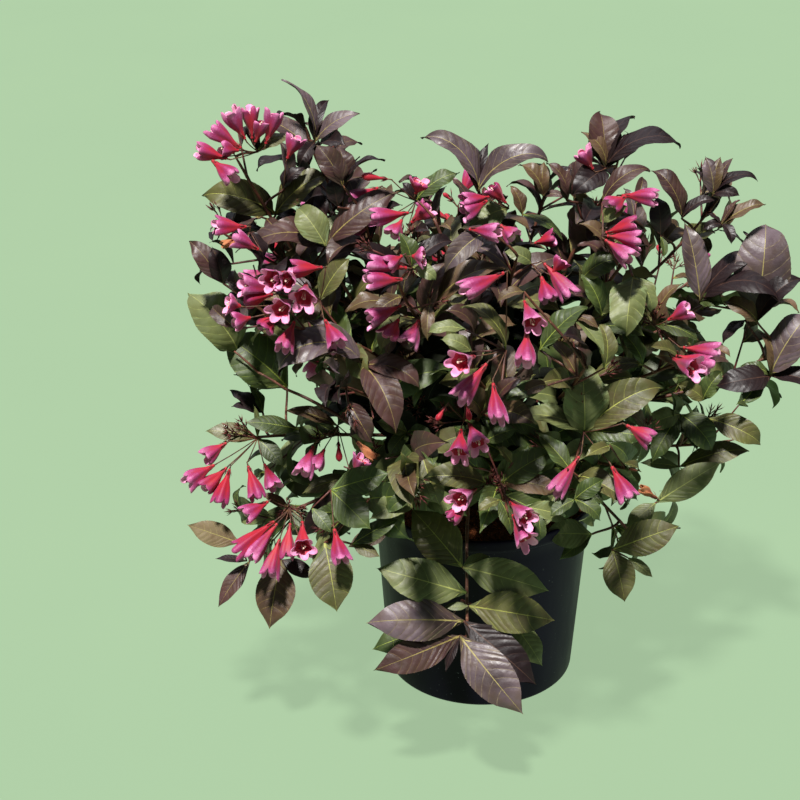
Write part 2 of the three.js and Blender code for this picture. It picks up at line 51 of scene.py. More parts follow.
CLEAR = 0.3  # the gap at each of the solids' joints
POT = {"height": 208, "rim": 118, "band": 14, "shoulder": 113, "base": 99, "wall": 2, "floor": 3}
COMPOST_TOP = 195
HEAD = np.array([0.0, 0.0, COMPOST_TOP + CLEAR + 36])
HEAD_RADIUS = 19
HEART = np.array([0.0, 0.0, 340.0])
BOUGH = {"root": 3.9, "tip": 2.5, "node": 3.7, "climb": 0.35, "arch": 0.15}
STEM = {"root": 2.0, "tip": 1.3, "curl": 0.5}
CAD_SPACING, SPACING = 44.5, 30  # between pairs of leaves, on the solids and here
BARE_FOOT, BARE_TIP = 24, 3

# fork, then shoots: name, tip, leaf length, flowers by the rule, and rise
BOUGHS = {
    "left_top": ((-119, 7, 404), [
        ("rosette", (-178, 10, 598), 81, 0, 1.2),
        ("bloom", (-245, -22, 580), 54, 0, 0.7),
        ("shelf", (-258, -52, 512), 73, 0, 0.1)]),
    "left_mid": ((-92, -58, 356), [
        ("cluster", (-212, -165, 478), 56, 0, 0.2),
        ("outlook", (-238, -60, 448), 71, 0, 0.3),
        ("veil", (-146, -215, 425), 88, 0, -0.2)]),
    "left_low": ((-92, -30, 283), [
        ("reach", (-230, -20, 402), 82, 0, 0.5),
        ("bells", (-262, -70, 296), 61, 0, -0.3),
        ("skirt", (-236, -112, 206), 76, 0, -0.9)]),
    "front_left": ((-56, -84, 292), [
        ("apron", (-152, -182, 250), 83, 0, -0.7),
        ("fan", (-85, -238, 365), 76, 0, 0.1)]),
    "mid_top_left": ((-60, -14, 368), [
        ("plume", (-122, -55, 532), 78, 0, 0.8),
        ("crest", (-48, 10, 515), 63, 0, 1),
        ("breast", (-88, -150, 500), 66, 0, 0.3)]),
    "top": ((-4, 14, 374), [
        ("rosette", (-8, 20, 548), 81, 0, 1.2),
        ("twin", (62, 62, 520), 68, 0, 1),
        ("brow", (24, -85, 500), 61, 0, 0.5)]),
    "right_top": ((72, 7, 381), [
        ("rosette", (126, 8, 568), 81, 0, 1.2),
        ("bloom", (142, -92, 528), 71, 0, 0.4),
        ("horn", (236, 55, 510), 66, 0, 0.9)]),
    "right": ((108, -4, 313), [
        ("shoulder", (266, 22, 448), 88, 0, 0.8),
        ("bells", (198, -122, 416), 66, 0, 0),
        ("reach", (304, 0, 368), 88, 0, 0.6)]),
    "right_low": ((84, -40, 262), [
        ("wing", (252, -38, 282), 78, 0, 0.2),
        ("skirt", (160, -100, 182), 73, 0, -1),
        ("cheek", (135, -195, 330), 66, 0, 0)]),
    "front": ((-10, -86, 298), [
        ("hanger", (-22, -202, 128), 87, 0, -1.4),
        ("bells", (12, -242, 312), 63, 0, -0.3),
        ("face", (2, -235, 425), 68, 0, 0.3)]),
    "front_right": ((46, -80, 322), [
        ("face", (80, -205, 440), 68, 0, 0.3),
        ("inner", (88, -215, 318), 73, 0, -0.2),
        ("lap", (-32, -160, 432), 66, 0, 0.3)]),
    "back_left": ((-68, 72, 322), [
        ("crest", (-150, 120, 470), 71, 4, 0.9),
        ("shelf", (-215, 150, 395), 73, 6, 0.2),
        ("skirt", (-150, 205, 275), 76, 2, -0.6)]),
    "back": ((0, 86, 312), [
        ("crest", (-28, 165, 445), 71, 4, 0.9),
        ("face", (20, 245, 370), 76, 8, 0.1),
        ("skirt", (-15, 222, 240), 78, 2, -0.8)]),
    "back_right": ((72, 72, 320), [
        ("crest", (110, 165, 462), 71, 4, 0.9),
        ("shelf", (225, 135, 385), 76, 4, 0.3),
        ("skirt", (165, 195, 262), 76, 2, -0.6)]),
}

# ---------------------------------------------------------------- what the photograph shows, marked

# The places in this section are pixels, read off the 800 x 800 photograph, from its left and top
# edges, and a depth y is the frame's, in millimetres. place_mark, crown_reach and sky_gap put them there.
MARKS = []


def mark(node, leaves, flowers=(), spent=(), y=None, on=None):
    """A sprig that leads the front, at a depth y or on the shoot that is named.

    A leaf is its tip, how far it comes forward for its length, its turn up from facing the front in degrees,
    its colour, its width for its length, its curl, and its base where it isn't the node. A flower is its neck,
    its mouth, how far it comes forward for its length, and its kind. A spent calyx is one place."""
    MARKS.append((node, leaves, flowers, spent, y, on))


mark((315, 142), [((283, 80), 0.1, 50, "lilac", 0.31, 0.7), ((360, 113), 0.2, 38, "lilac", 0.42, 0.4),
     ((325, 100), -0.3, 25, "dark", 0.3, 0.2), ((297, 166), 0.3, 10, "dark", 0.5)], on="left_top_rosette")
mark((258, 152), [((243, 128), 0.1, 50, "dark", 0.4), ((292, 135), 0.1, 30, "olive", 0.42), ((249, 126),
     0.3, 60, "dark", 0.35)], [((245, 138), (228, 110)), ((252, 138), (249, 107)), ((256, 142), (263, 120)),
     ((266, 143), (276, 112)), ((240, 148), (209, 127)), ((226, 158), (197, 150)), ((238, 150), (220, 148)),
     ((213, 161), (233, 179))], on="left_top_bloom")
mark((283, 190), [((277, 140), 0.1, 45, "lilac", 0.3), ((306, 168), 0.2, 30, "dark", 0.4), ((292, 164), 0.0,
     40, "dark", 0.4)], [((288, 158), (297, 136))], on="left_top_rosette")
mark((276, 214), [((205, 190), 0.1, 15, "olive", 0.42), ((219, 207), -0.1, 35, "dark", 0.4), ((330, 179),
     0.1, 25, "olive", 0.45), ((303, 224), 0.2, 30, "dark", 0.45)], on="left_top_rosette")
mark((326, 246), [((252, 250), 0.45, 25, "plum", 0.36, 1.5)], y=-15)
mark((326, 246), [((403, 198), 0.15, 30, "plum", 0.38), ((300, 208), -0.2, 10, "fresh", 0.6), ((338, 214),
     -0.3, 20, "fresh", 0.5)], y=-62)
mark((338, 207), [((330, 177), 0.2, 10, "dark", 0.6)], on="mid_top_left_plume")
mark((343, 186), [((318, 143), 0.1, 12, "plum", 0.55), ((339, 146), 0.0, 20, "plum", 0.6), ((385, 160), 0.1,
     50, "dark", 0.3)], on="mid_top_left_plume")
mark((416, 201), [((460, 174), 0.1, 35, "green", 0.4), ((415, 176), 0.0, 55, "dark", 0.35), ((400, 184),
     0.3, 15, "dark", 0.5)], [((416, 193), (421, 181), 0.4), ((408, 213), (371, 219)), ((402, 220), (392,
     236)), ((412, 222), (430, 206)), ((387, 179), (361, 176), 0.1, "bud"), ((378, 188), (350, 201), 0.1,
     "behind"), ((376, 223), (345, 233), 0.1, "behind")], on="mid_top_left_crest")
mark((436, 221), [((447, 186), 0.1, 50, "lilac", 0.35)], on="mid_top_left_crest")
mark((478, 192), [((425, 135), 0.1, 46, "lilac", 0.32, 0.9), ((547, 157), 0.15, 44, "lilac", 0.34, 1.2),
     ((475, 143), -0.1, 35, "dark", 0.28, 0.1), ((489, 143), -0.1, 35, "dark", 0.28, 0.1)],
     on="top_rosette")
mark((508, 208), [((467, 224), 0.2, 12, "fresh", 0.55)], [((489, 197), (462, 202)), ((487, 201), (463,
     214)), ((506, 203), (489, 187))], on="top_rosette")
mark((490, 230), [((446, 274), 0.3, 20, "lilac", 0.36)], [((470, 229), (499, 232)), ((501, 226), (514,
     238))], on="top_brow")
mark((605, 168), [((606, 113), -0.15, 5, "plum", 0.62), ((680, 152), 0.15, 45, "dark", 0.42, 1.2), ((583,
     131), 0.1, 40, "bronze", 0.4), ((632, 118), -0.3, 45, "dark", 0.4), ((574, 196), 0.4, 10, "dark",
     0.6)], [((592, 168), (581, 151))], on="right_top_rosette")
mark((603, 203), [((650, 172), 0.1, 40, "plum", 0.36), ((628, 207), 0.3, 20, "fresh", 0.5, None, (600,
     222))], [((622, 196), (657, 198)), ((626, 196), (611, 209), 0.2), ((606, 233), (637, 221)), ((608,
     236), (642, 238)), ((606, 240), (632, 260))], on="right_top_bloom")
mark((543, 197), [((520, 164), 0.1, 30, "bronze", 0.45), ((548, 163), 0.2, 25, "bronze", 0.5), ((565, 196),
     0.3, 40, "plum", 0.4)], on="top_twin")
mark((522, 214), [((512, 186), 0.1, 20, "bronze", 0.5), ((565, 238), 0.25, 45, "green", 0.35)], [((535,
     243), (556, 238))], on="top_twin")
mark((566, 200), [((547, 163), 0.1, 40, "plum", 0.4), ((569, 168), 0.1, 30, "plum", 0.4)],
     on="right_top_rosette")
mark((682, 218), [((648, 174), 0.15, 35, "plum", 0.4), ((715, 200), 0.1, 50, "dark", 0.35)],
     on="right_top_horn")
mark((660, 236), [((656, 196), 0.1, 10, "dark", 0.6), ((664, 258), 0.1, 35, "green", 0.35)],
     on="right_shoulder")
mark((712, 195), [((705, 157), 0.1, 20, "lilac", 0.6, 0.3), ((720, 157), 0.1, 30, "bronze", 0.5, 0.3),
     ((734, 158), 0.0, 40, "plum", 0.35, 0.2), ((757, 180), 0.1, 55, "dark", 0.3), ((739, 197), 0.4, 35,
     "dark", 0.5), ((694, 172), 0.0, 45, "dark", 0.4)], on="right_top_horn")
mark((722, 224), [((767, 207), 0.1, 40, "bronze", 0.35), ((741, 201), 0.1, 40, "plum", 0.35), ((703, 230),
     0.2, 30, "dark", 0.5), ((733, 244), 0.3, 30, "dark", 0.5), ((706, 214), 0.1, 45, "dark", 0.4)], y=20)
mark((745, 320), [((768, 224), 0.1, 8, "lilac", 0.56, 1.1, (757, 316)), ((720, 345), 0.3, 40, "dark",
     0.45)], on="right_shoulder")
mark((700, 302), [((683, 221), 0.1, 8, "lilac", 0.38), ((781, 299), 0.4, 55, "dark", 0.38, 1.1), ((762,
     260), 0.1, 50, "dark", 0.34), ((724, 303), 0.5, 20, "green", 0.5)], on="right_shoulder")
mark((757, 322), [((806, 284), 0.2, 45, "dark", 0.4), ((724, 301), 0.1, 20, "bronze", 0.5)],
     on="right_reach")
mark((770, 376), [((814, 312), 0.1, 25, "lilac", 0.5), ((762, 332), 0.1, 30, "bronze", 0.4), ((828, 392),
     0.2, 30, "dark", 0.42), ((718, 391), 0.2, 10, "dark", 0.48), ((740, 366), 0.1, 40, "green", 0.4)],
     on="right_reach")
mark((703, 400), [((722, 371), 0.2, 25, "green", 0.5), ((678, 385), 0.2, 20, "olive", 0.5)],
     on="right_reach")
mark((655, 325), [((697, 342), 0.2, 30, "green", 0.45), ((683, 283), 0.1, 45, "bronze", 0.35)], [((668,
     320), (691, 308)), ((684, 348), (720, 352)), ((673, 358), (692, 371), 0.5), ((676, 356), (713, 366))],
     spent=[(655, 305), (660, 312), (648, 318), (665, 330)], on="right_bells")
mark((633, 277), [((630, 336), 0.3, 12, "fresh", 0.55), ((650, 312), 0.2, 25, "fresh", 0.45)],
     on="right_bells")
mark((601, 316), [((612, 279), 0.1, 10, "fresh", 0.62), ((578, 276), 0.2, 25, "green", 0.45)], [((572, 331),
     (577, 353), 0.1, "behind")], on="right_bells")
mark((582, 280), [((621, 258), 0.2, 30, "green", 0.5)], on="right_top_bloom")
mark((532, 264), [((505, 250), 0.2, 20, "fresh", 0.5)], [((541, 277), (549, 303)), ((544, 264), (573, 295)),
     ((553, 272), (563, 259), 0.1)], on="right_top_bloom")
mark((524, 292), [((497, 304), 0.2, 30, "bronze", 0.45)], [((524, 302), (533, 329), 0.5), ((526, 332), (526,
     364), 0.4)], y=-205)
mark((540, 350), [((590, 311), 0.15, 30, "green", 0.42), ((549, 368), 0.1, 60, "lilac", 0.3)], y=-175)
mark((573, 317), [((600, 355), 0.3, 35, "fresh", 0.42), ((600, 330), 0.2, 30, "bronze", 0.4)], y=-175)
mark((584, 432), [((577, 362), 0.05, 4, "fresh", 0.58), ((512, 424), 0.2, 40, "fresh", 0.38), ((661, 385),
     0.1, 30, "olive", 0.4), ((646, 444), 0.25, 22, "green", 0.45)], [((579, 457), (553, 494)), ((612, 467),
     (629, 501)), ((627, 426), (653, 440))], spent=[(577, 396), (574, 408)], on="front_right_inner")
mark((643, 365), [((590, 378), 0.1, 42, "olive", 0.38), ((622, 330), 0.1, 30, "green", 0.4)],
     on="right_bells")
mark((547, 385), [((520, 394), 0.2, 30, "bronze", 0.5), ((505, 400), 0.1, 30, "green", 0.4)], y=-210)
mark((362, 366), [((277, 373), 0.3, 54, "lilac", 0.4, 1.3), ((421, 386), 0.25, 40, "plum", 0.4), ((403,
     430), 0.35, 20, "plum", 0.44), ((307, 320), 0.05, 30, "lilac", 0.3)], y=-125)
mark((427, 319), [((505, 266), 0.15, 42, "bronze", 0.36), ((374, 316), 0.3, 20, "bronze", 0.5, None, (402,
     296)), ((448, 262), 0.2, 30, "plum", 0.4)], [((400, 306), (367, 322)), ((398, 320), (388, 339)), ((419,
     321), (408, 347))], on="mid_top_left_breast")
mark((412, 268), [((402, 232), 0.1, 20, "green", 0.5), ((437, 278), 0.2, 20, "fresh", 0.5)], [((402, 256),
     (386, 266)), ((406, 268), (366, 262)), ((402, 279), (365, 281)), ((413, 256), (425, 257))],
     spent=[(360, 245), (412, 275)], on="mid_top_left_breast")
mark((506, 350), [((458, 312), 0.1, 40, "olive", 0.32), ((442, 337), 0.2, 22, "fresh", 0.45, None, (471,
     352)), ((428, 335), 0.1, 45, "fresh", 0.36, None, (466, 330))], [((503, 273), (464, 293)), ((474, 356),
     (454, 363), 0.7), ((486, 364), (458, 400)), ((493, 384), (497, 422), 0.35)], y=-208)
mark((464, 420), [((430, 398), 0.2, 35, "green", 0.45), ((484, 440), 0.2, 40, "green", 0.4)], [((461, 430),
     (458, 459), 0.5), ((470, 424), (480, 447), 0.5), ((446, 407), (436, 421), 0.2, "bud"), ((466, 403),
     (470, 421), 0.2, "bud")], spent=[(440, 410), (452, 404), (432, 425), (475, 405)], on="front_face")
mark((320, 300), [((350, 258), 0.1, 25, "olive", 0.45), ((306, 325), 0.3, 15, "bronze", 0.55)], [((284,
     272), (271, 283), 1.2), ((295, 275), (286, 284), 1.2), ((306, 284), (304, 303), 0.6), ((276, 290),
     (241, 286), 0.5), ((272, 295), (243, 299)), ((240, 306), (226, 303)), ((250, 318), (232, 322)), ((292,
     300), (279, 313), 0.9), ((294, 322), (282, 350), 0.4), ((325, 321), (339, 346), 0.35), ((322, 267),
     (292, 269)), ((275, 316), (262, 330))], y=-90)
mark((250, 232), [((262, 268), 0.3, 30, "dark", 0.5)], [((246, 227), (215, 227)), ((258, 249), (232, 236)),
     ((240, 240), (219, 246), 0.3, "faded")], on="left_top_shelf")
mark((223, 283), [((186, 244), 0.1, 22, "plum", 0.45), ((214, 246), 0.2, 12, "dark", 0.62)],
     on="left_top_shelf")
mark((238, 352), [((185, 297), 0.15, 20, "fresh", 0.56, 0.7)], on="left_low_reach")
mark((287, 387), [((228, 334), 0.1, 10, "green", 0.6), ((235, 372), 0.15, 30, "green", 0.42), ((256, 393),
     0.2, 45, "green", 0.45)], on="left_low_reach")
mark((258, 438), [((206, 431), 0.1, 30, "olive", 0.42), ((283, 466), 0.2, 20, "green", 0.5), ((253, 405),
     0.1, 50, "fresh", 0.3), ((245, 424), 0.2, 35, "green", 0.4, None, (300, 430))], [((226, 443), (203,
     458)), ((214, 465), (185, 482)), ((226, 468), (203, 492)), ((229, 470), (219, 504)), ((248, 467), (258,
     500)), ((265, 465), (276, 490), 0.4)], spent=[(226, 432), (238, 424)], on="left_low_bells")
mark((338, 425), [((285, 415), 0.15, 45, "bronze", 0.35), ((360, 405), 0.1, 20, "green", 0.4)], [((313,
     447), (302, 475), 0.4), ((324, 450), (315, 468), 0.2), ((338, 442), (339, 462), 0.1, "bud"), ((357,
     442), (376, 464), 0.2, "faded"), ((354, 476), (364, 457), 0.3)], on="left_low_bells")
mark((290, 508), [((316, 532), 0.3, 20, "green", 0.5), ((262, 492), 0.2, 30, "bronze", 0.4)], [((277, 524),
     (248, 560)), ((279, 540), (268, 576)), ((274, 522), (233, 552)), ((302, 522), (303, 556), 0.5), ((290,
     524), (286, 559)), ((268, 502), (245, 517)), ((300, 540), (306, 548), 0.8)], spent=[(292, 505), (305,
     512), (282, 515)], on="left_low_skirt")
mark((240, 543), [((187, 524), 0.15, 8, "tan", 0.46), ((215, 558), 0.1, 40, "dark", 0.35, None, (247,
     561))], on="left_low_skirt")
mark((250, 561), [((219, 607), 0.1, 28, "plum", 0.42)], on="left_low_skirt")
mark((281, 560), [((269, 629), 0.15, 8, "bronze", 0.66), ((316, 577), 0.1, 25, "dark", 0.5)],
     on="left_low_skirt")
mark((325, 543), [((339, 611), 0.15, 4, "olive", 0.66)], on="front_left_apron")
mark((331, 490), [((372, 528), 0.35, 5, "green", 0.6), ((390, 474), 0.2, 20, "green", 0.5), ((332, 532),
     0.2, 20, "green", 0.5, None, (312, 508))], [((334, 530), (342, 563))], on="front_left_apron")
mark((352, 545), [((399, 519), 0.2, 30, "green", 0.4), ((380, 556), 0.2, 30, "olive", 0.5)],
     on="front_left_apron")
mark((408, 432), [((376, 424), 0.2, 15, "fresh", 0.5), ((391, 456), 0.3, 20, "green", 0.5), ((432, 434),
     0.3, 30, "green", 0.45)], y=-120)
mark((487, 484), [((423, 479), 0.15, 32, "olive", 0.42), ((430, 502), 0.1, 10, "fresh", 0.5, None, (424,
     480))], [((475, 489), (455, 500), 0.5), ((468, 500), (450, 522), 0.4)], spent=[(488, 478), (496, 474)],
     on="front_bells")
mark((501, 483), [((553, 455), 0.15, 24, "green", 0.5), ((561, 493), 0.2, 30, "bronze", 0.4), ((518, 432),
     0.1, 22, "green", 0.45, None, (484, 442))], [((511, 503), (527, 520), 0.5), ((513, 516), (527, 543),
     0.5)], spent=[(499, 478), (504, 492)], on="front_bells")
mark((592, 534), [((543, 534), 0.15, 12, "fresh", 0.6), ((560, 560), 0.1, 20, "green", 0.4)],
     on="right_low_skirt")
mark((612, 550), [((679, 526), 0.1, 10, "olive", 0.5), ((626, 602), 0.15, 6, "olive", 0.64), ((653, 577),
     0.1, 25, "fresh", 0.4, None, (628, 558))], y=-128)
mark((656, 503), [((626, 528), 0.2, 20, "fresh", 0.5), ((721, 462), 0.1, 12, "fresh", 0.4)], [((656, 498),
     (638, 486), 0.3, "faded")], y=-88)
mark((679, 467), [((750, 454), 0.15, 38, "olive", 0.36, 0.9), ((699, 491), 0.1, 50, "bronze", 0.3), ((640,
     462), 0.2, 30, "fresh", 0.3)], y=-55)
mark((680, 414), [((650, 461), 0.2, 18, "green", 0.42), ((643, 427), 0.15, 15, "fresh", 0.5), ((713, 448),
     0.1, 12, "green", 0.55)], on="right_low_wing")
mark((708, 418), [((759, 447), 0.1, 20, "olive", 0.42)], on="right_low_wing")
# the olive leaf to (412, 508) and the fresh one to (549, 590) are mid-green leaves given lighter kinds,
# painted light for leaves that lie in shade here
mark((462, 567), [((412, 508), -0.1, 10, "olive", 0.6), ((549, 590), 0.1, 8, "fresh", 0.42, 0.5), ((490,
     556), -0.1, 30, "fresh", 0.5)], on="front_hanger")
mark((467, 593), [((376, 571), 0.1, 12, "fresh", 0.48, 0.6)], on="front_hanger")
mark((469, 606), [((555, 618), 0.1, 5, "olive", 0.48, 0.5), ((444, 607), 0.1, 30, "fresh", 0.4)],
     on="front_hanger")
mark((464, 621), [((366, 622), 0.15, 14, "lilac", 0.46, 0.9), ((536, 686), 0.05, 10, "dark", 0.46, 0.5)],
     on="front_hanger")
mark((460, 636), [((374, 673), 0.15, 8, "plum", 0.42, 0.4), ((521, 716), 0.2, 3, "lilac", 0.5, 0.4), ((446,
     672), 0.3, 45, "dark", 0.35)], on="front_hanger")
mark((462, 600), [((372, 649), -0.1, 20, "green", 0.45, 0.5, (446, 626)), ((541, 666), -0.1, 15, "fresh",
     0.5, 0.4, (512, 622))], y=-165)
mark((263, 412), [((229, 392), 0.1, 25, "dark", 0.5), ((250, 385), 0.1, 45, "green", 0.4), ((232, 408), 0.2,
     30, "dark", 0.4)], on="left_low_reach")
mark((500, 500), [((512, 535), 0.2, 20, "green", 0.5), ((478, 512), 0.3, 30, "olive", 0.5)],
     on="front_bells")
mark((575, 500), [((603, 478), 0.1, 20, "green", 0.5), ((600, 520), 0.1, 25, "green", 0.5), ((548, 515),
     0.2, 30, "green", 0.5)], on="front_right_inner")
mark((392, 528), [((348, 548), 0.1, 25, "bronze", 0.5)], y=-95)
mark((352, 478), [((302, 492), 0.1, 30, "olive", 0.36), ((300, 540), 0.05, -20, "dark", 0.4)], y=-95)

# stems that the front shows bare: pixel and depth of each bend
BARE_STEMS = (
    ((352, 425, -70), (318, 404, -62), (285, 389, -55), (258, 372, -50), (234, 351, -42)),
    ((352, 300, -60), (329, 262, -52), (334, 214, -40)),
    ((452, 262, -95), (434, 218, -85), (418, 201, -80)),
)

# the crown's outline, clockwise from the tip at the top left, and a place at its middle
CROWN_OUTLINE = (
    (283, 80), (312, 100), (360, 112), (352, 125), (330, 145), (352, 150), (385, 160), (400, 180), (415,
    174), (425, 185), (460, 172), (450, 192), (437, 220), (455, 222), (462, 195), (425, 135), (440,
    133), (470, 165), (475, 143), (490, 143), (492, 160), (520, 148), (547, 155), (550, 165), (575,
    180), (582, 131), (600, 150), (600, 112), (635, 118), (645, 135), (680, 150), (650, 170), (680,
    190), (690, 172), (700, 158), (735, 158), (757, 180), (742, 195), (767, 207), (740, 220), (730,
    245), (712, 262), (742, 255), (745, 225), (775, 222), (790, 240), (785, 270), (800, 283), (815,
    300), (830, 330), (832, 395), (800, 402), (760, 388), (740, 400), (712, 418), (758, 447), (749,
    455), (720, 480), (662, 500), (660, 512), (678, 526), (660, 550), (655, 575), (630, 560), (626,
    600), (605, 580), (600, 550), (592, 540), (575, 545), (540, 545), (500, 535), (440, 535), (400,
    540), (385, 545), (362, 545), (360, 580), (340, 610), (312, 580), (300, 575), (285, 605), (269,
    628), (251, 585), (235, 585), (219, 606), (217, 580), (230, 563), (215, 558), (238, 545), (187,
    525), (195, 518), (225, 518), (245, 530), (250, 500), (225, 495), (210, 470), (205, 440), (206,
    432), (230, 410), (228, 392), (245, 385), (225, 370), (222, 350), (187, 328), (180, 305), (190,
    293), (215, 300), (230, 300), (222, 282), (186, 244), (210, 240), (215, 222), (225, 210), (205,
    190), (230, 182), (255, 190), (265, 215), (262, 190), (255, 165), (195, 150), (210, 125), (228,
    108), (257, 105), (275, 110), (300, 130),
)
CROWN_MIDDLE = (500, 350)
# reach in millimetres at two angles in degrees, where leaves may come out further than the outline has it
WIDER_AT = {50: 260, 60: 280}
# where the sky shows through the crown: its middle and radius
SKY_GAPS = (
    (268, 185, 9), (236, 162, 9), (252, 257, 6), (338, 452, 15), (365, 570, 16), (392, 150, 26), (448,
    203, 11), (392, 232, 7), (500, 176, 9), (602, 187, 8), (690, 182, 8), (672, 262, 10), (724, 272,
    12), (716, 330, 12), (745, 355, 12), (658, 405, 6), (720, 405, 14), (612, 518, 12), (655, 483, 9),
    (300, 392, 14), (272, 391, 6), (272, 433, 7), (225, 480, 12), (236, 455, 8), (690, 250, 6), (640,
    165, 8), (658, 156, 9), (565, 150, 12), (430, 165, 14), (655, 262, 8), (664, 290, 9), (620, 267, 6),
)

# ---------------------------------------------------------------- small tools

UP = np.array([0.0, 0.0, 1.0])
SIDEWAYS = np.array([0.31, 0.17, 0.93])
FULL_TURN = 6.283


def unit(v):
    return v / (math.sqrt(float(v @ v)) + 1e-12)


def square_to(axis, v):
    return unit(v - axis * float(axis @ v))


def mix(a, b, t):
    return a + (b - a) * t


def smooth(x):
    x = min(1.0, max(0.0, x))
    return x * x * (3 - 2 * x)


def chance(a, b, c):
    """A number from 0 to 1 that looks random and is always the same, as the solids' rule has it."""
    wave = math.sin(a * 12.9898 + b * 78.233 + c * 37.719) * 43758.5453
    return wave - math.floor(wave)


class Curve:
    """A cubic curve that is read by the share of its length, with a frame that turns as little as it can."""

    FINE, STEPS = 201, 48

    def __init__(self, start, leaving, end, arriving):
        third = float(np.linalg.norm(end - start)) / 3
        a, b = start + leaving * third, end - arriving * third
        t = np.linspace(0, 1, self.FINE)[:, None]
        fine = (1 - t) ** 3 * start + 3 * (1 - t) ** 2 * t * a + 3 * (1 - t) * t * t * b + t**3 * end
        reached = np.concatenate([[0], np.cumsum(np.linalg.norm(np.diff(fine, axis=0), axis=1))])
        self.length = float(reached[-1])
        share = np.linspace(0, self.length, self.STEPS + 1)
        self.points = np.stack([np.interp(share, reached, fine[:, k]) for k in range(3)], 1)
        tangents = np.gradient(self.points, axis=0)
        self.tangents = tangents / np.linalg.norm(tangents, axis=1)[:, None]
        across = square_to(self.tangents[0], SIDEWAYS)
        rows = []
        for tangent in self.tangents:
            across = square_to(tangent, across)
            rows.append(across)
        self.across = np.array(rows)

    def at(self, share):
        """A place on the curve: the point, the way there and a direction across it."""
        reached = min(1.0, max(0.0, share)) * self.STEPS
        k = min(int(reached), self.STEPS - 1)
        point = mix(self.points[k], self.points[k + 1], reached - k)
        tangent = unit(mix(self.tangents[k], self.tangents[k + 1], reached - k))
        return point, tangent, square_to(tangent, self.across[k])


def branching(place, turn, angle):
    """The way of what leaves a place at an angle from its stem, and at a turn round it."""
    _, tangent, across = place
    spoke = across * math.cos(turn) + np.cross(tangent, across) * math.sin(turn)
    return tangent * math.cos(angle) + spoke * math.sin(angle)


def basis(direction, turn=0.0):
    """Two directions square to one and to each other, turned about it."""
    first = square_to(direction, SIDEWAYS)
    second = np.cross(direction, first)
    one = first * math.cos(turn) + second * math.sin(turn)
    return one, np.cross(direction, one)


SPREAD_ROUNDS = 80


def spread_out(directions, angle):
    """Directions pushed apart until each two are at least an angle from each other."""
    spread = [unit(d) for d in directions]
    for _ in range(SPREAD_ROUNDS):
        for i, one in enumerate(spread):
            for j in range(i + 1, len(spread)):
                other = spread[j]
                short = angle - math.acos(max(-1.0, min(1.0, float(one @ other))))
                if short > 0:
                    apart = unit(one - other) * 0.5 * short
                    one, spread[j] = unit(one + apart), unit(other - apart)
            spread[i] = one
    return spread


def angle_for(radius, ball):
    """The angle at which limbs of a radius stand clear of each other on a ball."""
    return 2 * math.asin((radius + CLEAR) / (ball + CLEAR))


class Batch:
    """Many small meshes joined into one piece, in millimetres until it is made."""

    def __init__(self):
        self.points, self.quads, self.kinds, self.count = [], [], [], 0

    def add(self, points, quads, kinds):
        self.points.append(points)
        self.quads.append(quads + self.count)
        self.kinds.append(np.broadcast_to(np.asarray(kinds, np.int32), (len(quads),)))
        self.count += len(points)

    def make(self, name, materials, flat=False):
        points = np.concatenate(self.points) * MM
        quads = np.concatenate(self.quads)
        kinds = np.concatenate(self.kinds)
        tri = quads[:, 2] == quads[:, 3]
        sizes = np.where(tri, 3, 4)
        starts = np.concatenate([[0], np.cumsum(sizes)[:-1]])
        keep = np.ones(quads.shape, bool)
        keep[:, 3] = ~tri
        mesh = bpy.data.meshes.new(name)
        mesh.vertices.add(len(points))
        mesh.vertices.foreach_set("co", points.astype(np.float32).ravel())
        mesh.loops.add(int(sizes.sum()))
        mesh.loops.foreach_set("vertex_index", quads[keep].astype(np.int32))
        mesh.polygons.add(len(quads))
        mesh.polygons.foreach_set("loop_start", starts.astype(np.int32))
        mesh.polygons.foreach_set("material_index", kinds.astype(np.int32))
        mesh.polygons.foreach_set("use_smooth", np.full(len(quads), not flat))
        mesh.update(calc_edges=True)
        mesh.validate()
        for material in materials:
            mesh.materials.append(material)
        piece = bpy.data.objects.new(name, mesh)
        bpy.context.collection.objects.link(piece)
        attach(piece, "root")
        return piece


def grid_quads(rows, columns, closed=False):
    """Faces between rows of points, with the last column joined to the first where it is closed."""
    i, j = np.meshgrid(np.arange(rows - 1), np.arange(columns if closed else columns - 1), indexing="ij")
    here, there = i * columns, (i + 1) * columns
    k = (j + 1) % columns
    return np.stack([here + j, here + k, there + k, there + j], -1).reshape(-1, 4)


def around(sides):
    return np.linspace(0, 2 * math.pi, sides, endpoint=False)


def tube(points, tangents, across, radii, sides, batch, kind, ends=None):
    """A limb with pointed ends. It has a radius at each point, or one for each side there."""
    radii, angles = np.asarray(radii), around(sides)
    other = np.cross(tangents, across)
    ring = across[:, None] * np.cos(angles)[None, :, None] + other[:, None] * np.sin(angles)[None, :, None]
    width = radii.reshape(len(points), -1, 1)
    shell = (points[:, None] + ring * width).reshape(-1, 3)
    low, high = ends or (radii[0] * 0.5, radii[-1] * 0.5)
    tips = np.stack([points[0] - tangents[0] * low, points[-1] + tangents[-1] * high])
    first, last = np.full(sides, len(shell)), np.full(sides, len(shell) + 1)
    top = (len(points) - 1) * sides
    k = np.arange(sides)
    n = (k + 1) % sides
    foot = np.stack([n, k, first, first], 1)
    cap = np.stack([top + k, top + n, last, last], 1)
    quads = grid_quads(len(points), sides, closed=True)
    batch.add(np.concatenate([shell, tips]), np.concatenate([quads, foot, cap]), kind)


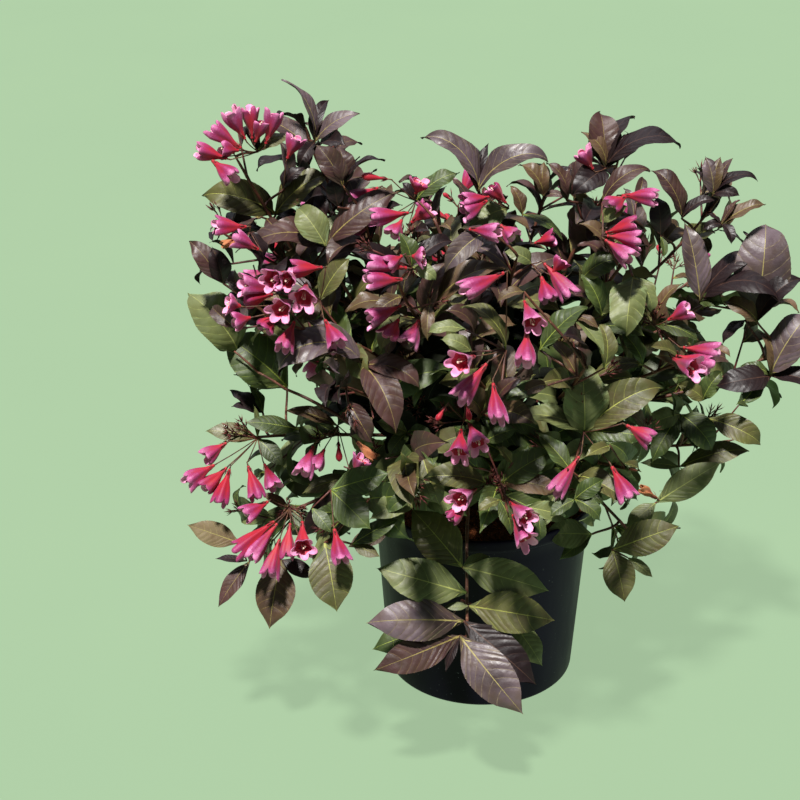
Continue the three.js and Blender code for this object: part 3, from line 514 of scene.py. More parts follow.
def straight_tube(start, end, radius, tip, sides, batch, kind, steps=3, sag=0.0):
    """A limb from point to point that may sag, or arch where the sag is below 0."""
    t = np.linspace(0, 1, steps + 1)[:, None]
    points = mix(start, end, t) - UP * sag * np.sin(math.pi * t)
    tangents = np.gradient(points, axis=0)
    tangents /= np.linalg.norm(tangents, axis=1)[:, None]
    across = np.array([square_to(tangent, SIDEWAYS) for tangent in tangents])
    tube(points, tangents, across, mix(radius, tip, t[:, 0]), sides, batch, kind)


# ---------------------------------------------------------------- materials


def linear(rgb):
    return [((c / 255 + 0.055) / 1.055) ** 2.4 if c > 10 else c / 255 / 12.92 for c in rgb] + [1.0]


class Paint:
    """A principled material whose colour, roughness and bump come from noise in the object's own space."""

    def __init__(self, name, roughness=0.5, specular=0.5, sheen=None):
        self.material = bpy.data.materials.new(name)
        self.material.use_nodes = True
        self.nodes = self.material.node_tree.nodes
        self.links = self.material.node_tree.links
        self.shader = self.nodes["Principled BSDF"]
        self.shader.inputs["Roughness"].default_value = roughness
        self.shader.inputs["Specular IOR Level"].default_value = specular
        if sheen:
            weight, tint = sheen
            self.shader.inputs["Sheen Weight"].default_value = weight
            self.shader.inputs["Sheen Tint"].default_value = linear(tint)
        self.space = self.nodes.new("ShaderNodeTexCoord").outputs["Object"]
        self.colour = None

    def noise(self, scale, detail=3.0, stretch=None):
        texture = self.nodes.new("ShaderNodeTexNoise")
        texture.inputs["Scale"].default_value = scale
        texture.inputs["Detail"].default_value = detail
        where = self.space
        if stretch:
            mapping = self.nodes.new("ShaderNodeMapping")
            mapping.inputs["Scale"].default_value = stretch
            self.links.new(where, mapping.inputs["Vector"])
            where = mapping.outputs["Vector"]
        self.links.new(where, texture.inputs["Vector"])
        return texture.outputs["Fac"]

    def ramp(self, fac, low, high, start=0.35, end=0.65):
        ramp = self.nodes.new("ShaderNodeValToRGB")
        for stop, position, colour in zip(ramp.color_ramp.elements, (start, end), (low, high)):
            stop.position, stop.color = position, colour
        self.links.new(fac, ramp.inputs["Fac"])
        return ramp.outputs["Color"]

    def between(self, low, high, scale, start=0.35, end=0.65, **how):
        """The base colour runs between two colours."""
        self.colour = self.ramp(self.noise(scale, **how), linear(low), linear(high), start, end)
        self.links.new(self.colour, self.shader.inputs["Base Color"])
        return self

    def flecked(self, rgb, scale, start, end, **how):
        """Another colour where a finer noise is high."""
        mask = self.ramp(self.noise(scale, **how), (0, 0, 0, 1), (1, 1, 1, 1), start, end)
        blend = self.nodes.new("ShaderNodeMixRGB")
        self.links.new(mask, blend.inputs["Fac"])
        self.links.new(self.colour, blend.inputs["Color1"])
        blend.inputs["Color2"].default_value = linear(rgb)
        self.colour = blend.outputs["Color"]
        self.links.new(self.colour, self.shader.inputs["Base Color"])
        return self

    def rough(self, scale, low, high, **how):
        grey = self.ramp(self.noise(scale, **how), (low, low, low, 1), (high, high, high, 1))
        self.links.new(grey, self.shader.inputs["Roughness"])
        return self

    def bumped(self, scale, strength, distance=0.0006, **how):
        bump = self.nodes.new("ShaderNodeBump")
        bump.inputs["Strength"].default_value = strength
        bump.inputs["Distance"].default_value = distance
        self.links.new(self.noise(scale, **how), bump.inputs["Height"])
        self.links.new(bump.outputs["Normal"], self.shader.inputs["Normal"])
        return self


def mix_rgb(a, b, t):
    return tuple(mix(x, y, t) for x, y in zip(a, b))


def fine_paint(name, low, high, scale, roughness, specular, relief=0.0003):
    """Two colours with a fine grain, for stalks, veins and stamens."""
    return Paint(name, roughness, specular).between(low, high, scale).bumped(700, 0.2, relief).material


def leaf_paint(name, low, high, fleck, roughness, specular):
    paint = Paint(name, roughness, specular)
    paint.between(low, high, 26, 0.3, 0.7, detail=3)
    paint.flecked(mix_rgb(mix_rgb(low, high, 0.5), fleck, 0.6), 60, 0.45, 0.8, detail=3)
    paint.rough(90, roughness - 0.06, roughness + 0.12)
    return paint.bumped(240, 0.5, 0.0008, detail=5).material


# one entry a kind of leaf: the blade's two colours and its flecks, the vein, the underside
LEAF_COLOURS = {
    "fresh": ((76, 85, 47), (114, 121, 76), (98, 96, 54), (172, 176, 102), (120, 134, 94)),
    "green": ((40, 54, 22), (72, 86, 40), (62, 58, 32), (156, 168, 74), (100, 118, 76)),
    "olive": ((60, 62, 30), (98, 96, 52), (78, 60, 40), (166, 168, 84), (112, 118, 78)),
    "bronze": ((62, 44, 32), (100, 76, 54), (80, 68, 36), (162, 154, 80), (98, 92, 68)),
    "tan": ((96, 82, 60), (134, 118, 88), (100, 72, 52), (170, 160, 94), (112, 104, 76)),
    "plum": ((44, 26, 27), (80, 53, 50), (60, 46, 28), (148, 134, 74), (74, 62, 52)),
    # lilac: a plum leaf painted lighter and greyer, a painted sheen where its glossy top catches the light
    "lilac": ((50, 37, 38), (106, 90, 97), (84, 66, 44), (168, 156, 94), (84, 72, 62)),
    "dark": ((22, 13, 16), (38, 25, 26), (28, 16, 20), (84, 58, 46), (46, 38, 34)),
    # shade: near-black green, painted shade for leaves deep inside the crown
    "shade": ((13, 17, 9), (26, 31, 16), (20, 17, 12), (58, 64, 30), (30, 36, 20)),
}
YOUNG = ("plum", "dark", "lilac")
# roughness and specular of the blade
GLOSS = {name: (0.43 if name in YOUNG else 0.48, 0.46) for name in LEAF_COLOURS}
GLOSS.update(dark=(0.42, 0.32), shade=(0.6, 0.15))


def leaf_materials(name):
    """The blade, its midrib, its underside and its side veins."""
    low, high, fleck, vein, under = LEAF_COLOURS[name]
    return [
        leaf_paint(f"leaf_{name}", low, high, fleck, *GLOSS[name]),
        fine_paint(f"vein_{name}", mix_rgb(vein, low, 0.3), mix_rgb(vein, low, 0.06), 160, 0.5, 0.3, 0.0006),
        leaf_paint(f"under_{name}", mix_rgb(under, low, 0.35), under, mix_rgb(under, fleck, 0.5), 0.65, 0.2),
        fine_paint(f"sidevein_{name}", mix_rgb(low, vein, 0.22), mix_rgb(high, vein, 0.36), 160, 0.5, 0.3,
                   0.0006),
    ]


# ---------------------------------------------------------------- one leaf

VEINS = (0.1, 0.2, 0.31, 0.43, 0.55, 0.67)
OUTLINE_AT = (0, 0.05, 0.08, 0.12, 0.18, 0.25, 0.33, 0.42, 0.5,
              0.6, 0.7, 0.77, 0.82, 0.86, 0.9, 0.93, 0.96, 1)
OUTLINE = (0.035, 0.035, 0.09, 0.3, 0.56, 0.77, 0.92, 1, 1,
           0.95, 0.83, 0.68, 0.53, 0.37, 0.2, 0.11, 0.06, 0)
BLADE, RIB, UNDER, SIDEVEIN = range(4)
# what stands for the relief of the points underneath
UNDER_MIDDLE, UNDER_EDGE = -10.0, -9.0
# how far the swelling between two veins shows at each share across, and the midrib's groove
SWELLING = {1: 0.0, 0.66: 0.55, 0.33: 1.0, 0.5: 0.8, 0: -0.2}
# rows of a leaf seen from near, from further off and inside the crown: share along and relief before the
# veins and after them, and for each vein a step, a share of the gap to the next one, relief and tooth. Then
# shares across
NEAR, MIDDLING, FAR, SKETCH = 2, 1, 0, -1
TIP_FROM = 0.77
LEVELS = {
    NEAR: (((0, 0), (0.03, 0), (0.045, 0), (0.058, 0), (0.07, 0), (0.083, 0.3)),
           ((TIP_FROM, 0.4), (0.82, 0.2), (0.87, 0), (0.92, 0), (0.96, 0), (0.985, 0), (1, 0)),
           ((0, 0, -1, 0.012), (0.008, 0, -1, -0.008), (0, 0.4, 0.75, 0.006), (0, 0.72, 0.6, -0.008)),
           (1, 0.66, 0.33, 0)),
    MIDDLING: (((0, 0), (0.03, 0), (0.05, 0), (0.065, 0), (0.08, 0.3)),
               ((TIP_FROM, 0.3), (0.84, 0), (0.91, 0), (0.96, 0), (1, 0)),
               ((0, 0, -1, 0.014), (0.008, 0, -1, -0.004), (0, 0.52, 0.8, -0.006)),
               (1, 0.66, 0.33, 0)),
    FAR: (((0, 0), (0.035, 0), (0.06, 0.1)),
          ((TIP_FROM, 0.2), (0.88, 0), (0.95, 0), (1, 0)),
          ((0, 0, -1, 0.012), (0, 0.52, 0.8, -0.006)),
          (1, 0.5, 0)),
}


def forwards(a, reach):
    """How far along the leaf a row comes that leaves the midrib at a, as it runs out to the margin."""
    return a + 0.32 * (1 - a) * smooth(a / 0.12) * reach**1.25


def leaf_template(foot_rows, tip_rows, vein_rows, shares):
    """Points as (share across, share along, half width there, relief), with faces and their kinds.
    Its rows run out from the midrib and forwards, as the side veins do."""
    rows = [(a, height, 0) for a, height in foot_rows]
    first_vein = len(rows)
    for vein, following in zip(VEINS, (*VEINS[1:], TIP_FROM)):
        gap = following - vein
        rows += [(vein + step + gap * share, height, tooth) for step, share, height, tooth in vein_rows]
    tip = len(rows)
    rows += [(a, height, 0) for a, height in tip_rows]
    columns = [(-1, reach) for reach in shares] + [(1, reach) for reach in reversed(shares)]
    points = []
    for a, height, tooth in rows:
        for side, reach in columns:
            margin = tooth if reach == 1 else 0
            points.append((side * max(1e-6, reach + margin), forwards(a, reach), height * SWELLING[reach]))
    count, wide, per_vein = len(rows), len(columns), len(vein_rows)
    detailed = per_vein > 2
    kinds = np.full((count - 1, wide - 1), BLADE)
    kinds[:2] = RIB
    if detailed:
        kinds[first_vein:tip:per_vein] = SIDEVEIN
    kinds[:, wide // 2 - 1] = RIB
    under_rows = [0, first_vein - 1, *range(first_vein, tip, per_vein if detailed else 2 * per_vein),
                  tip, count - 3, count - 2, count - 1]
    starts = []
    for r in under_rows:
        starts.append(len(points))
        for c in (-1, -0.5, 0.0, 0.5, 1):
            points.append((c, forwards(rows[r][0], abs(c)), UNDER_MIDDLE if abs(c) < 1 else UNDER_EDGE))
    below = [[b + k + 1, b + k, e + k, e + k + 1] for b, e in zip(starts, starts[1:]) for k in range(4)]
    across, along, relief = np.array(points).T
    return {
        "across": across, "along": along, "half": np.interp(along, OUTLINE_AT, OUTLINE), "relief": relief,
        "quads": np.concatenate([grid_quads(count, wide), np.array(below)]),
        "kinds": np.concatenate([kinds.ravel(), [UNDER] * len(below)]),
    }


def leaf_sketch():
    """A few points of the blade, which stand for the leaf while the shrub grows."""
    grids = np.meshgrid((0.2, 0.35, 0.5, 0.65, 0.8, 0.93), (-0.7, 0, 0.7), indexing="ij")
    along, across = [grid.ravel() for grid in grids]
    half = np.interp(along, OUTLINE_AT, OUTLINE)
    return {"across": across, "along": along, "half": half, "relief": np.zeros(len(along))}


TEMPLATES = {level: leaf_template(*rows) for level, rows in LEVELS.items()}
TEMPLATES[SKETCH] = leaf_sketch()
SKETCH_MIDDLE = 7
RELIEF = 0.006
WAVES = 2.4
BENDS = 32


def shape_leaf(leaf, level):
    """The points of a leaf's template, folded, rolled, waved, twisted and bent, and put in its place."""
    t = TEMPLATES[level]
    length, form = leaf["length"], leaf["form"]
    half_width = form["width"] * length / 2
    rib = length * 0.007 * (1.12 - t["along"])
    lateral = np.abs(t["across"])
    blade = np.maximum(t["half"] * half_width - rib, 0)
    x = np.sign(t["across"]) * (rib + blade * lateral)
    flat = np.clip(t["half"] * 2.2, 0, 1)
    underside = np.where(t["relief"] == UNDER_MIDDLE, -1.15 * RELIEF * length * flat - 0.12, -0.03)
    z = np.where(t["relief"] > UNDER_EDGE, t["relief"] * RELIEF * length * flat, underside)
    z = z + form["fold"] * np.abs(x) - form["roll"] * half_width * lateral**2 * t["half"]
    wave = np.sin(FULL_TURN * (WAVES * t["along"] + form["phase"]) + (x > 0) * 2.1)
    z = z + form["wave"] * half_width * lateral**2 * wave
    twist = form["twist"] * t["along"]
    x, z = x * np.cos(twist) + z * np.sin(twist), z * np.cos(twist) - x * np.sin(twist)
    steps = np.linspace(0, 1, BENDS + 1)
    bend = form["lift"] * (1 - steps) ** 3 - form["droop"] * steps - form["curl"] * steps**4
    forward = np.concatenate([[0], np.cumsum(np.cos(bend[:-1]))]) / BENDS
    rise = np.concatenate([[0], np.cumsum(np.sin(bend[:-1]))]) / BENDS
    angle = np.interp(t["along"], steps, bend)
    y = np.interp(t["along"], steps, forward) * length - z * np.sin(angle)
    z = np.interp(t["along"], steps, rise) * length + z * np.cos(angle)
    x = x + form["sweep"] * t["along"] ** 2 * length
    ahead, above = forward[-1] * length, rise[-1] * length
    reach = math.hypot(ahead, above)
    y, z = (y * ahead + z * above) / reach, (z * ahead - y * above) / reach
    x, y, z = x * length / reach, y * length / reach, z * length / reach
    d, f = leaf["direction"], leaf["face"]
    return leaf["base"] + np.outer(x, np.cross(d, f)) + np.outer(y, d) + np.outer(z, f)


# ---------------------------------------------------------------- room for each leaf


class Room:
    """Points of what is in place, on a grid, to keep leaves off each other."""

    CELL = 10.0

    def __init__(self):
        self.cells = {}

    def key(self, p):
        return int(p[0] // self.CELL), int(p[1] // self.CELL), int(p[2] // self.CELL)

    def put(self, points):
        for p in points:
            self.cells.setdefault(self.key(p), []).append(p)

    def near(self, points, least):
        limit = least * least
        for p in points:
            i, j, k = self.key(p)
            for a in (i - 1, i, i + 1):
                for b in (j - 1, j, j + 1):
                    for c in (k - 1, k, k + 1):
                        for q in self.cells.get((a, b, c), ()):
                            d = p - q
                            if d @ d < limit:
                                return True
        return False


class Screen:
    """How near the things lie that one way of looking shows, to keep what grows later from covering them."""

    CELL, HALF = 3.0, 200
    EMPTY = -1e9

    def __init__(self, toward, distance=None):
        self.toward, self.distance = unit(np.array(toward)), distance
        self.side = unit(np.cross(UP, self.toward))
        self.up = np.cross(self.toward, self.side)
        self.near = np.full((2 * self.HALF, 2 * self.HALF), self.EMPTY)

    def cells(self, points):
        away = np.asarray(points) - AIM
        near = away @ self.toward
        scale = 1.0 if self.distance is None else self.distance / (self.distance - near)
        spots = [np.clip((away @ axis * scale // self.CELL).astype(int) + self.HALF, 0, 2 * self.HALF - 1)
                 for axis in (self.side, self.up)]
        return (*spots, near)

    def put(self, points, radius):
        i, j, near = self.cells(points)
        reach = int(radius // self.CELL) + 1
        for a in range(-reach, reach + 1):
            for b in range(-reach, reach + 1):
                if math.hypot(a, b) * self.CELL <= radius:
                    spots = (np.clip(i + a, 0, 2 * self.HALF - 1), np.clip(j + b, 0, 2 * self.HALF - 1))
                    np.maximum.at(self.near, spots, near)

    def covered(self, points):
        """How far each point lies behind what is there, or below 0 where it is in front."""
        i, j, near = self.cells(points)
        return self.near[i, j] - near

    def covers(self, points):
        """How many of the points lie in front of something."""
        gaps = self.covered(points)
        return int(np.sum((gaps < 0) & (gaps > self.EMPTY / 2)))


room, stems_room = Room(), Room()
ELEVATION = math.radians(26)
TOWARD = np.array([0.0, -math.cos(ELEVATION), math.sin(ELEVATION)])
AIM = np.array([-86.5, 0.0, 308.0])
DISTANCE = 2000
EYE = AIM + TOWARD * DISTANCE
RIGHT = np.array([1.0, 0.0, 0.0])
RISING = np.cross(RIGHT, -TOWARD)
PHOTO_SIZE, MID_PIXEL, FOCAL = 800, 400, 1956  # in pixels
LIGHT_FROM = (-0.12, -0.36, 1.0)
FOREMOST = -150  # what is nearer to the front than this y may cover a little more of it
INSIDE, SKY_MARGIN = 0.985, 3
leaves_seen, flowers_seen = Screen(TOWARD, DISTANCE), Screen(TOWARD, DISTANCE)
leaves_lit, flowers_lit = Screen(LIGHT_FROM), Screen(LIGHT_FROM)


def sight(across, down):
    """The way from the eye through a pixel of the photograph."""
    return -TOWARD + RIGHT * (across - MID_PIXEL) / FOCAL + RISING * (MID_PIXEL - down) / FOCAL


def at_depth(across, down, y=0):
    """What a pixel shows at a depth."""
    way = sight(across, down)
    return EYE + way * ((y - EYE[1]) / way[1])


def forward_of(pixel, base, forward):
    """What a pixel shows as far off as a base, brought forward by a share of its distance from that base."""
    way = sight(*pixel)
    off = (base - EYE) @ -TOWARD
    return EYE + way * (off - forward * np.linalg.norm(EYE + way * off - base))


def pixel_of(point):
    """The pixel that shows a point."""
    way = point - EYE
    off = way @ -TOWARD
    return MID_PIXEL + FOCAL * (way @ RIGHT) / off, MID_PIXEL - FOCAL * (way @ RISING) / off


def whole(point):
    return tuple(round(float(v)) for v in point)


def leaves_outline(way):
    """How many pixels from the crown's middle a line last crosses its outline."""
    far = 0.0
    for (a, b), (c, d) in zip(CROWN_OUTLINE, CROWN_OUTLINE[1:] + CROWN_OUTLINE[:1]):
        across, down = c - a, d - b
        slant = way[0] * down - way[1] * across
        if abs(slant) > 1e-9:
            reach = ((a - CROWN_MIDDLE[0]) * down - (b - CROWN_MIDDLE[1]) * across) / slant
            share = ((a - CROWN_MIDDLE[0]) * way[1] - (b - CROWN_MIDDLE[1]) * way[0]) / slant
            if reach > 0 and 0 <= share <= 1:
                far = max(far, reach)
    return far


OUTLINE_RAYS = 40


def crown_reach():
    """The crown's reach round its middle in the plane of the stem, at each ten degrees from +x."""
    middle = at_depth(*CROWN_MIDDLE)
    angles, reaches = [], []
    for k in range(OUTLINE_RAYS):
        turn = 2 * math.pi * k / OUTLINE_RAYS
        way = (math.cos(turn), -math.sin(turn))
        far = leaves_outline(way)
        out = at_depth(CROWN_MIDDLE[0] + far * way[0], CROWN_MIDDLE[1] + far * way[1]) - middle
        angles.append(math.degrees(math.atan2(out[2], out[0])) % 360)
        reaches.append(round(math.hypot(out[0], out[2])))
    return [WIDER_AT.get(angle, round(float(np.interp(angle, angles, reaches, period=360))))
            for angle in range(0, 360, 10)]


def sky_gap(across, down, radius):
    """The middle (x, z) and the radius of a gap in the plane of the stem."""
    middle, side = at_depth(across, down), at_depth(across + radius, down)
    return round(float(middle[0])), round(float(middle[2])), round(float(side[0] - middle[0]))


MIDDLE = whole(at_depth(*CROWN_MIDDLE))[::2]
REACH = crown_reach()
OPENINGS = [sky_gap(*gap) for gap in SKY_GAPS]


def beyond(points):
    """Whether any point would show outside the crown, or in one of its openings."""
    for p in points:
        share = EYE[1] / (EYE[1] - p[1])
        x, z = EYE[0] + (p[0] - EYE[0]) * share, EYE[2] + (p[2] - EYE[2]) * share
        angle = math.degrees(math.atan2(z - MIDDLE[1], x - MIDDLE[0])) % 360 / 10
        k = int(angle)
        reach = mix(REACH[k % 36], REACH[(k + 1) % 36], angle - k)
        if math.hypot(x - MIDDLE[0], z - MIDDLE[1]) > INSIDE * reach:
            return True
        if any(math.hypot(x - i, z - j) < r + SKY_MARGIN for i, j, r in OPENINGS):
            return True
    return False


def in_the_way(points):
    """Whether these points would cover what the front shows, or shade its flowers."""
    most = 4 if points[0][1] < FOREMOST else 1
    if leaves_seen.covers(points) > most:
        return True
    return flowers_seen.covers(points) > 0 or flowers_lit.covers(points) > 1


# ---------------------------------------------------------------- growing

leaves, flowers, tufts = [], [], []
wood, twigs = Batch(), Batch()
TWIG_OLD, TWIG_YOUNG, PEDICEL = range(3)
PEDICEL_LENGTH = 11
LEAF_GAP, STEM_GAP = 6.5, 3.5
LIE_FLAT = 0.3  # how far the leaves of a pair turn away from the sky
SEED = 62
rng = random.Random(SEED)


def outwards(point):
    return unit(point - HEART)


# half the crown's size from its heart, and where its colours start to turn and how far up they go on turning
CROWN_HALF = np.array([300.0, 270.0, 250.0])
TURNS_FROM, TURNS_OVER = 240, 300


def exposure(point):
    """0 deep inside or low on the shrub, 1 at its top and outer shell."""
    out = (point - HEART) / CROWN_HALF
    return smooth(float(np.linalg.norm(out))), smooth((point[2] - TURNS_FROM) / TURNS_OVER)


def leaf_form(youth, flat=False):
    """How a leaf is folded, waved and bent. Young ones and those in the sun are more so."""
    r = rng.uniform
    bent = 0.35 if flat else 1.0
    return {
        "width": r(0.38, 0.48) - 0.07 * youth, "fold": bent * mix(r(0.15, 0.45), r(0.4, 0.85), youth**2),
        "roll": r(0.05, 0.25), "wave": bent * r(0.06, 0.2), "phase": r(0, 1), "twist": bent * r(-0.55, 0.55),
        "lift": bent * r(0.1, 0.6), "droop": bent * r(0.3, 1.0), "curl": bent * r(0.3, 1.4),
        "sweep": bent * r(-0.1, 0.1),
    }


# up to how dark each colour goes; lilac is plum with a painted sheen, lighter and greyer
DARKNESS = ((0.14, "fresh"), (0.34, "green"), (0.5, "olive"),
            (0.62, "bronze"), (0.8, "plum"), (0.88, "lilac"))
DEEP, ALWAYS_LIT_FROM = 0.45, 500


def leaf_colour(point, youth, tint):
    """Leaves deep inside the crown get the near-black shade colour, painted shade. Others run from green at
    the foot to plum at the top.
    """
    out, high = exposure(point)
    if out < DEEP + rng.uniform(-0.15, 0.12) and point[2] < ALWAYS_LIT_FROM:
        return "shade"
    dark = 0.12 + 0.4 * high + 0.16 * out * high + 0.2 * youth * out + tint + rng.uniform(-0.22, 0.22)
    dark -= 0.35 * max(0.0, 0.45 - high)
    for limit, name in DARKNESS:
        if dark < limit:
            return name
    return "dark"


# what a leaf tries to find its room: a share of its length, and a tilt
TRIES = ((1, 0), (1, 0.4), (1, -0.4), (0.82, 0.2), (0.82, -0.6), (0.66, 0.3), (0.66, -0.3))
LOWEST = 12


def add_leaf(shoot, base, direction, face, length, youth, least):
    form = leaf_form(youth)
    for share, tilt in TRIES:
        d = unit(direction + face * tilt)
        leaf = {"base": base, "direction": d, "face": square_to(d, face),
                "length": length * share, "form": form}
        samples = shape_leaf(leaf, SKETCH)
        if samples[:, 2].min() < LOWEST or inside_pot(samples):
            continue
        if room.near(samples[::2], least) or stems_room.near(samples[1:11:3], STEM_GAP):
            continue
        if beyond(samples) or in_the_way(samples):
            continue
        room.put(samples[::2])
        leaf["middle"] = samples[SKETCH_MIDDLE]
        leaf["colour"] = leaf_colour(leaf["middle"], youth, shoot["tint"])
        leaves.append(leaf)
        return


POT_HOLLOW = 104
OVER_RIM, BESIDE_RIM, OVER_COMPOST = 3, 4, 6  # what has to be free there


def inside_pot(points):
    """Whether any of the points would be in the pot's wall or the compost."""
    for p in points:
        across = math.hypot(p[0], p[1])
        low_and_near = p[2] < POT["height"] + OVER_RIM and across < POT["rim"] + BESIDE_RIM
        if low_and_near and (across > POT_HOLLOW or p[2] < COMPOST_TOP + OVER_COMPOST):
            return True
    return False


def leaf_face(place, direction):
    return square_to(direction, outwards(place[0]) * 0.75 + UP * 0.7 + place[1] * 0.25)


def leaf_pair(shoot, place, turn, length, angle, youth, least=LEAF_GAP):
    sky = square_to(place[1], outwards(place[0]) + UP)
    for side in (0, 1):
        direction = branching(place, turn + side * math.pi, angle + rng.uniform(-0.14, 0.14))
        direction = unit(direction - sky * LIE_FLAT * float(direction @ sky))
        size = length * rng.uniform(0.86, 1.1)
        base, face = place[0] + direction * 0.6, leaf_face(place, direction)
        add_leaf(shoot, base, direction, face, size, youth, least)


def add_flower(base, neck, mouth, kind="open"):
    length = float(np.linalg.norm(mouth - neck))
    flowers.append({"base": base, "neck": neck, "direction": unit(mouth - neck), "length": length,
                    "turn": rng.uniform(0, FULL_TURN), "kind": kind})


def add_tuft(base, direction, *sizes):
    """The dark calyx that a dropped flower leaves."""
    tufts.append({"base": base, "direction": unit(direction), "size": rng.uniform(*sizes)})


SPENT, BUD_CHANCE = 2, 0.4
SPIRAL = 0.382  # the share of a turn from one flower to the next
HEAD_STEP, BUD_STALK = 2.5, 9
FLOWER_ROOM = (16, 26, 36, 44)


def flower_head(place, count):
    """Flowers round the end of a stem, with buds and spent calyxes among them."""
    phase = rng.uniform(0, FULL_TURN)
    for bloom in range(count + SPENT):
        base = place[0] - place[1] * (HEAD_STEP * bloom)
        turn = 2 * math.pi * bloom * SPIRAL + phase
        direction = branching(place, turn, rng.uniform(0.55, 0.95))
        direction = unit(direction + outwards(base) * 0.45 - UP * rng.uniform(0.25, 0.55))
        length = rng.uniform(31, 37)
        samples = [base + direction * s for s in FLOWER_ROOM]
        if bloom >= count:
            add_tuft(base, direction + outwards(base) * 0.5, 0.8, 1.15)
            if rng.random() < BUD_CHANCE:
                neck = base + direction * BUD_STALK
                add_flower(base, neck, neck + direction * rng.uniform(10, 20), "bud")
        elif not (room.near(samples[1:], LEAF_GAP) or inside_pot(samples) or beyond(samples)
                  or in_the_way(samples)):
            room.put(samples)
            add_flower(base, base + direction * PEDICEL_LENGTH, base + direction * (PEDICEL_LENGTH + length))


TWIG_GAP, TWIG_FOOT, TWIG_TIP = 6, 1.25, 0.8
SPENT_CHANCE = 0.35


def sprig(shoot, place, turn, blooms, size, youth, spread=0.85, lift=0.12, pairs=2, leaf_size=0.72):
    """A side twig out of a leaf's axil, with a pair or more of leaves, and flowers where it bears them."""
    direction = unit(branching(place, turn, spread) + UP * lift)
    base = place[0] + place[1] * 3
    end = base + direction * size
    if stems_room.near([mix(base, end, t) for t in (0.4, 0.7, 1)], TWIG_GAP) or inside_pot([end]):
        return False
    across = square_to(direction, SIDEWAYS)
    seat = (end, direction, across)
    grown = len(leaves) + len(flowers)
    if blooms:
        flower_head(seat, blooms)
    for k in range(pairs):
        at = (mix(base, end, 1 - 0.42 * k) - direction, direction, across)
        length = leaf_size * shoot["leaf"] * mix(0.85, 1.1, k / 2)
        leaf_pair(shoot, at, turn + (k + 1) * math.pi / 2, length, 0.95, youth)
    if len(leaves) + len(flowers) == grown:
        return False
    straight_tube(base, end, TWIG_FOOT, TWIG_TIP, 6, twigs, TWIG_YOUNG, 4)
    stems_room.put([mix(base, end, t) for t in (0.3, 0.55, 0.8)])
    if not blooms and rng.random() < SPENT_CHANCE:
        spent_head(seat)
    return True


def spent_head(place):
    """A head whose flowers have dropped."""
    phase = rng.uniform(0, FULL_TURN)
    for k in range(rng.randint(3, 5)):
        direction = branching(place, phase + 2.4 * k, rng.uniform(0.3, 0.75))
        add_tuft(place[0] - place[1] * 2 * k, direction + UP * 0.15, 0.8, 1.2)


def pairs_at(curve, spacing, least):
    return max(least, round((curve.length - BARE_FOOT) / spacing) + 1)


def grow_shoot(shoot):
    """Leaf pairs and side sprigs, from the shoot's tip down to its bare foot."""
    curve = shoot["curve"]
    pairs = pairs_at(curve, SPACING, 4)
    tip_turn = shoot["phase"] + (pairs_at(curve, CAD_SPACING, 3) - 1) * math.pi / 2
    left = shoot["blooms"]
    for pair in reversed(range(pairs)):
        youth = pair / (pairs - 1)
        place = curve.at(mix(BARE_FOOT, curve.length - BARE_TIP, youth) / curve.length)
        turn = tip_turn - (pairs - 1 - pair) * math.pi / 2
        size = shoot["leaf"] * (1 - 0.22 * youth * youth) * (1.0 if youth > 0.3 else 0.9)
        if pair == pairs - 1:
            if left > 0:
                count = min(3, left)
                flower_head(place, count)
                left -= count
            if shoot["rise"] > 0.6 or not shoot["blooms"]:
                leaf_pair(shoot, place, turn + math.pi / 2, size * 0.62, 0.5, 1, 4.5)
                leaf_pair(shoot, place, turn, size * 0.36, 0.25, 1, 3.5)
        leaf_pair(shoot, place, turn, size, mix(1.25, 0.85, youth * youth), youth)
        if 0 < pair < pairs - 1:
            side = 0 if rng.random() < 0.5 else math.pi
            for other in (side, side + math.pi):
                blooms = min(2, left) if pair % 2 == 1 else 0
                if sprig(shoot, place, turn + other, blooms, rng.uniform(34, 58), youth):
                    left -= blooms
                    break


INNER = {"leaf": 68, "tint": -0.12}
INNER_AT, INNER_TRIES = (0.42, 0.6, 0.78, 0.95), 4


def grow_bough_twigs(curve):
    """Short leafy twigs inside the crown, along a bough."""
    for share in INNER_AT:
        place = curve.at(share)
        for _ in range(INNER_TRIES):
            turn = rng.uniform(0, FULL_TURN)
            size = rng.uniform(55, 95)
            if sprig(INNER, place, turn, 0, size, 0.2, spread=1.0, lift=0.35, pairs=3, leaf_size=0.95):
                break


# the boughs and shoots, in the order that the solids have them
boughs, shoots = [], []
forks = [np.array(fork, float) for fork, _ in BOUGHS.values()]
ways = [unit(fork - HEAD) for fork in forks]
roots = spread_out([way + UP * BOUGH["climb"] for way in ways], angle_for(BOUGH["root"], HEAD_RADIUS))
for (name, (_, entries)), fork, way, leaving in zip(BOUGHS.items(), forks, ways, roots):
    arriving = unit(way - UP * BOUGH["arch"])
    boughs.append(Curve(HEAD + leaving * (HEAD_RADIUS + CLEAR), leaving, fork, arriving))
    tips = [np.array(entry[1], float) for entry in entries]
    straight = [unit(tip - fork) for tip in tips]
    stems = spread_out([-arriving, *straight], angle_for(STEM["root"] + CLEAR, BOUGH["node"]))[1:]
    for (short, _, leaf, blooms, rise), tip, way, leaving in zip(entries, tips, straight, stems):
        turning = unit(way + UP * STEM["curl"] * rise)
        curve = Curve(fork + leaving * BOUGH["node"] * 0.5, leaving, tip, turning)
        phase = math.pi * chance(len(shoots) + 1, 0, 9)
        shoots.append({"name": f"shoots_{name}_{short}", "curve": curve, "leaf": leaf, "blooms": blooms,
                       "rise": rise, "phase": phase, "tint": rng.uniform(-0.1, 0.1)})

for curve in [shoot["curve"] for shoot in shoots] + boughs:
    stems_room.put(list(curve.points[::3]))


def seen_face(direction, turn):
    """A leaf's upper side as it is seen from the front: turned up out of sight by an angle in degrees."""
    face = square_to(direction, TOWARD)
    side = np.cross(direction, face)
    if side[2] < 0:
        side = -side
    return face * math.cos(math.radians(turn)) + side * math.sin(math.radians(turn))


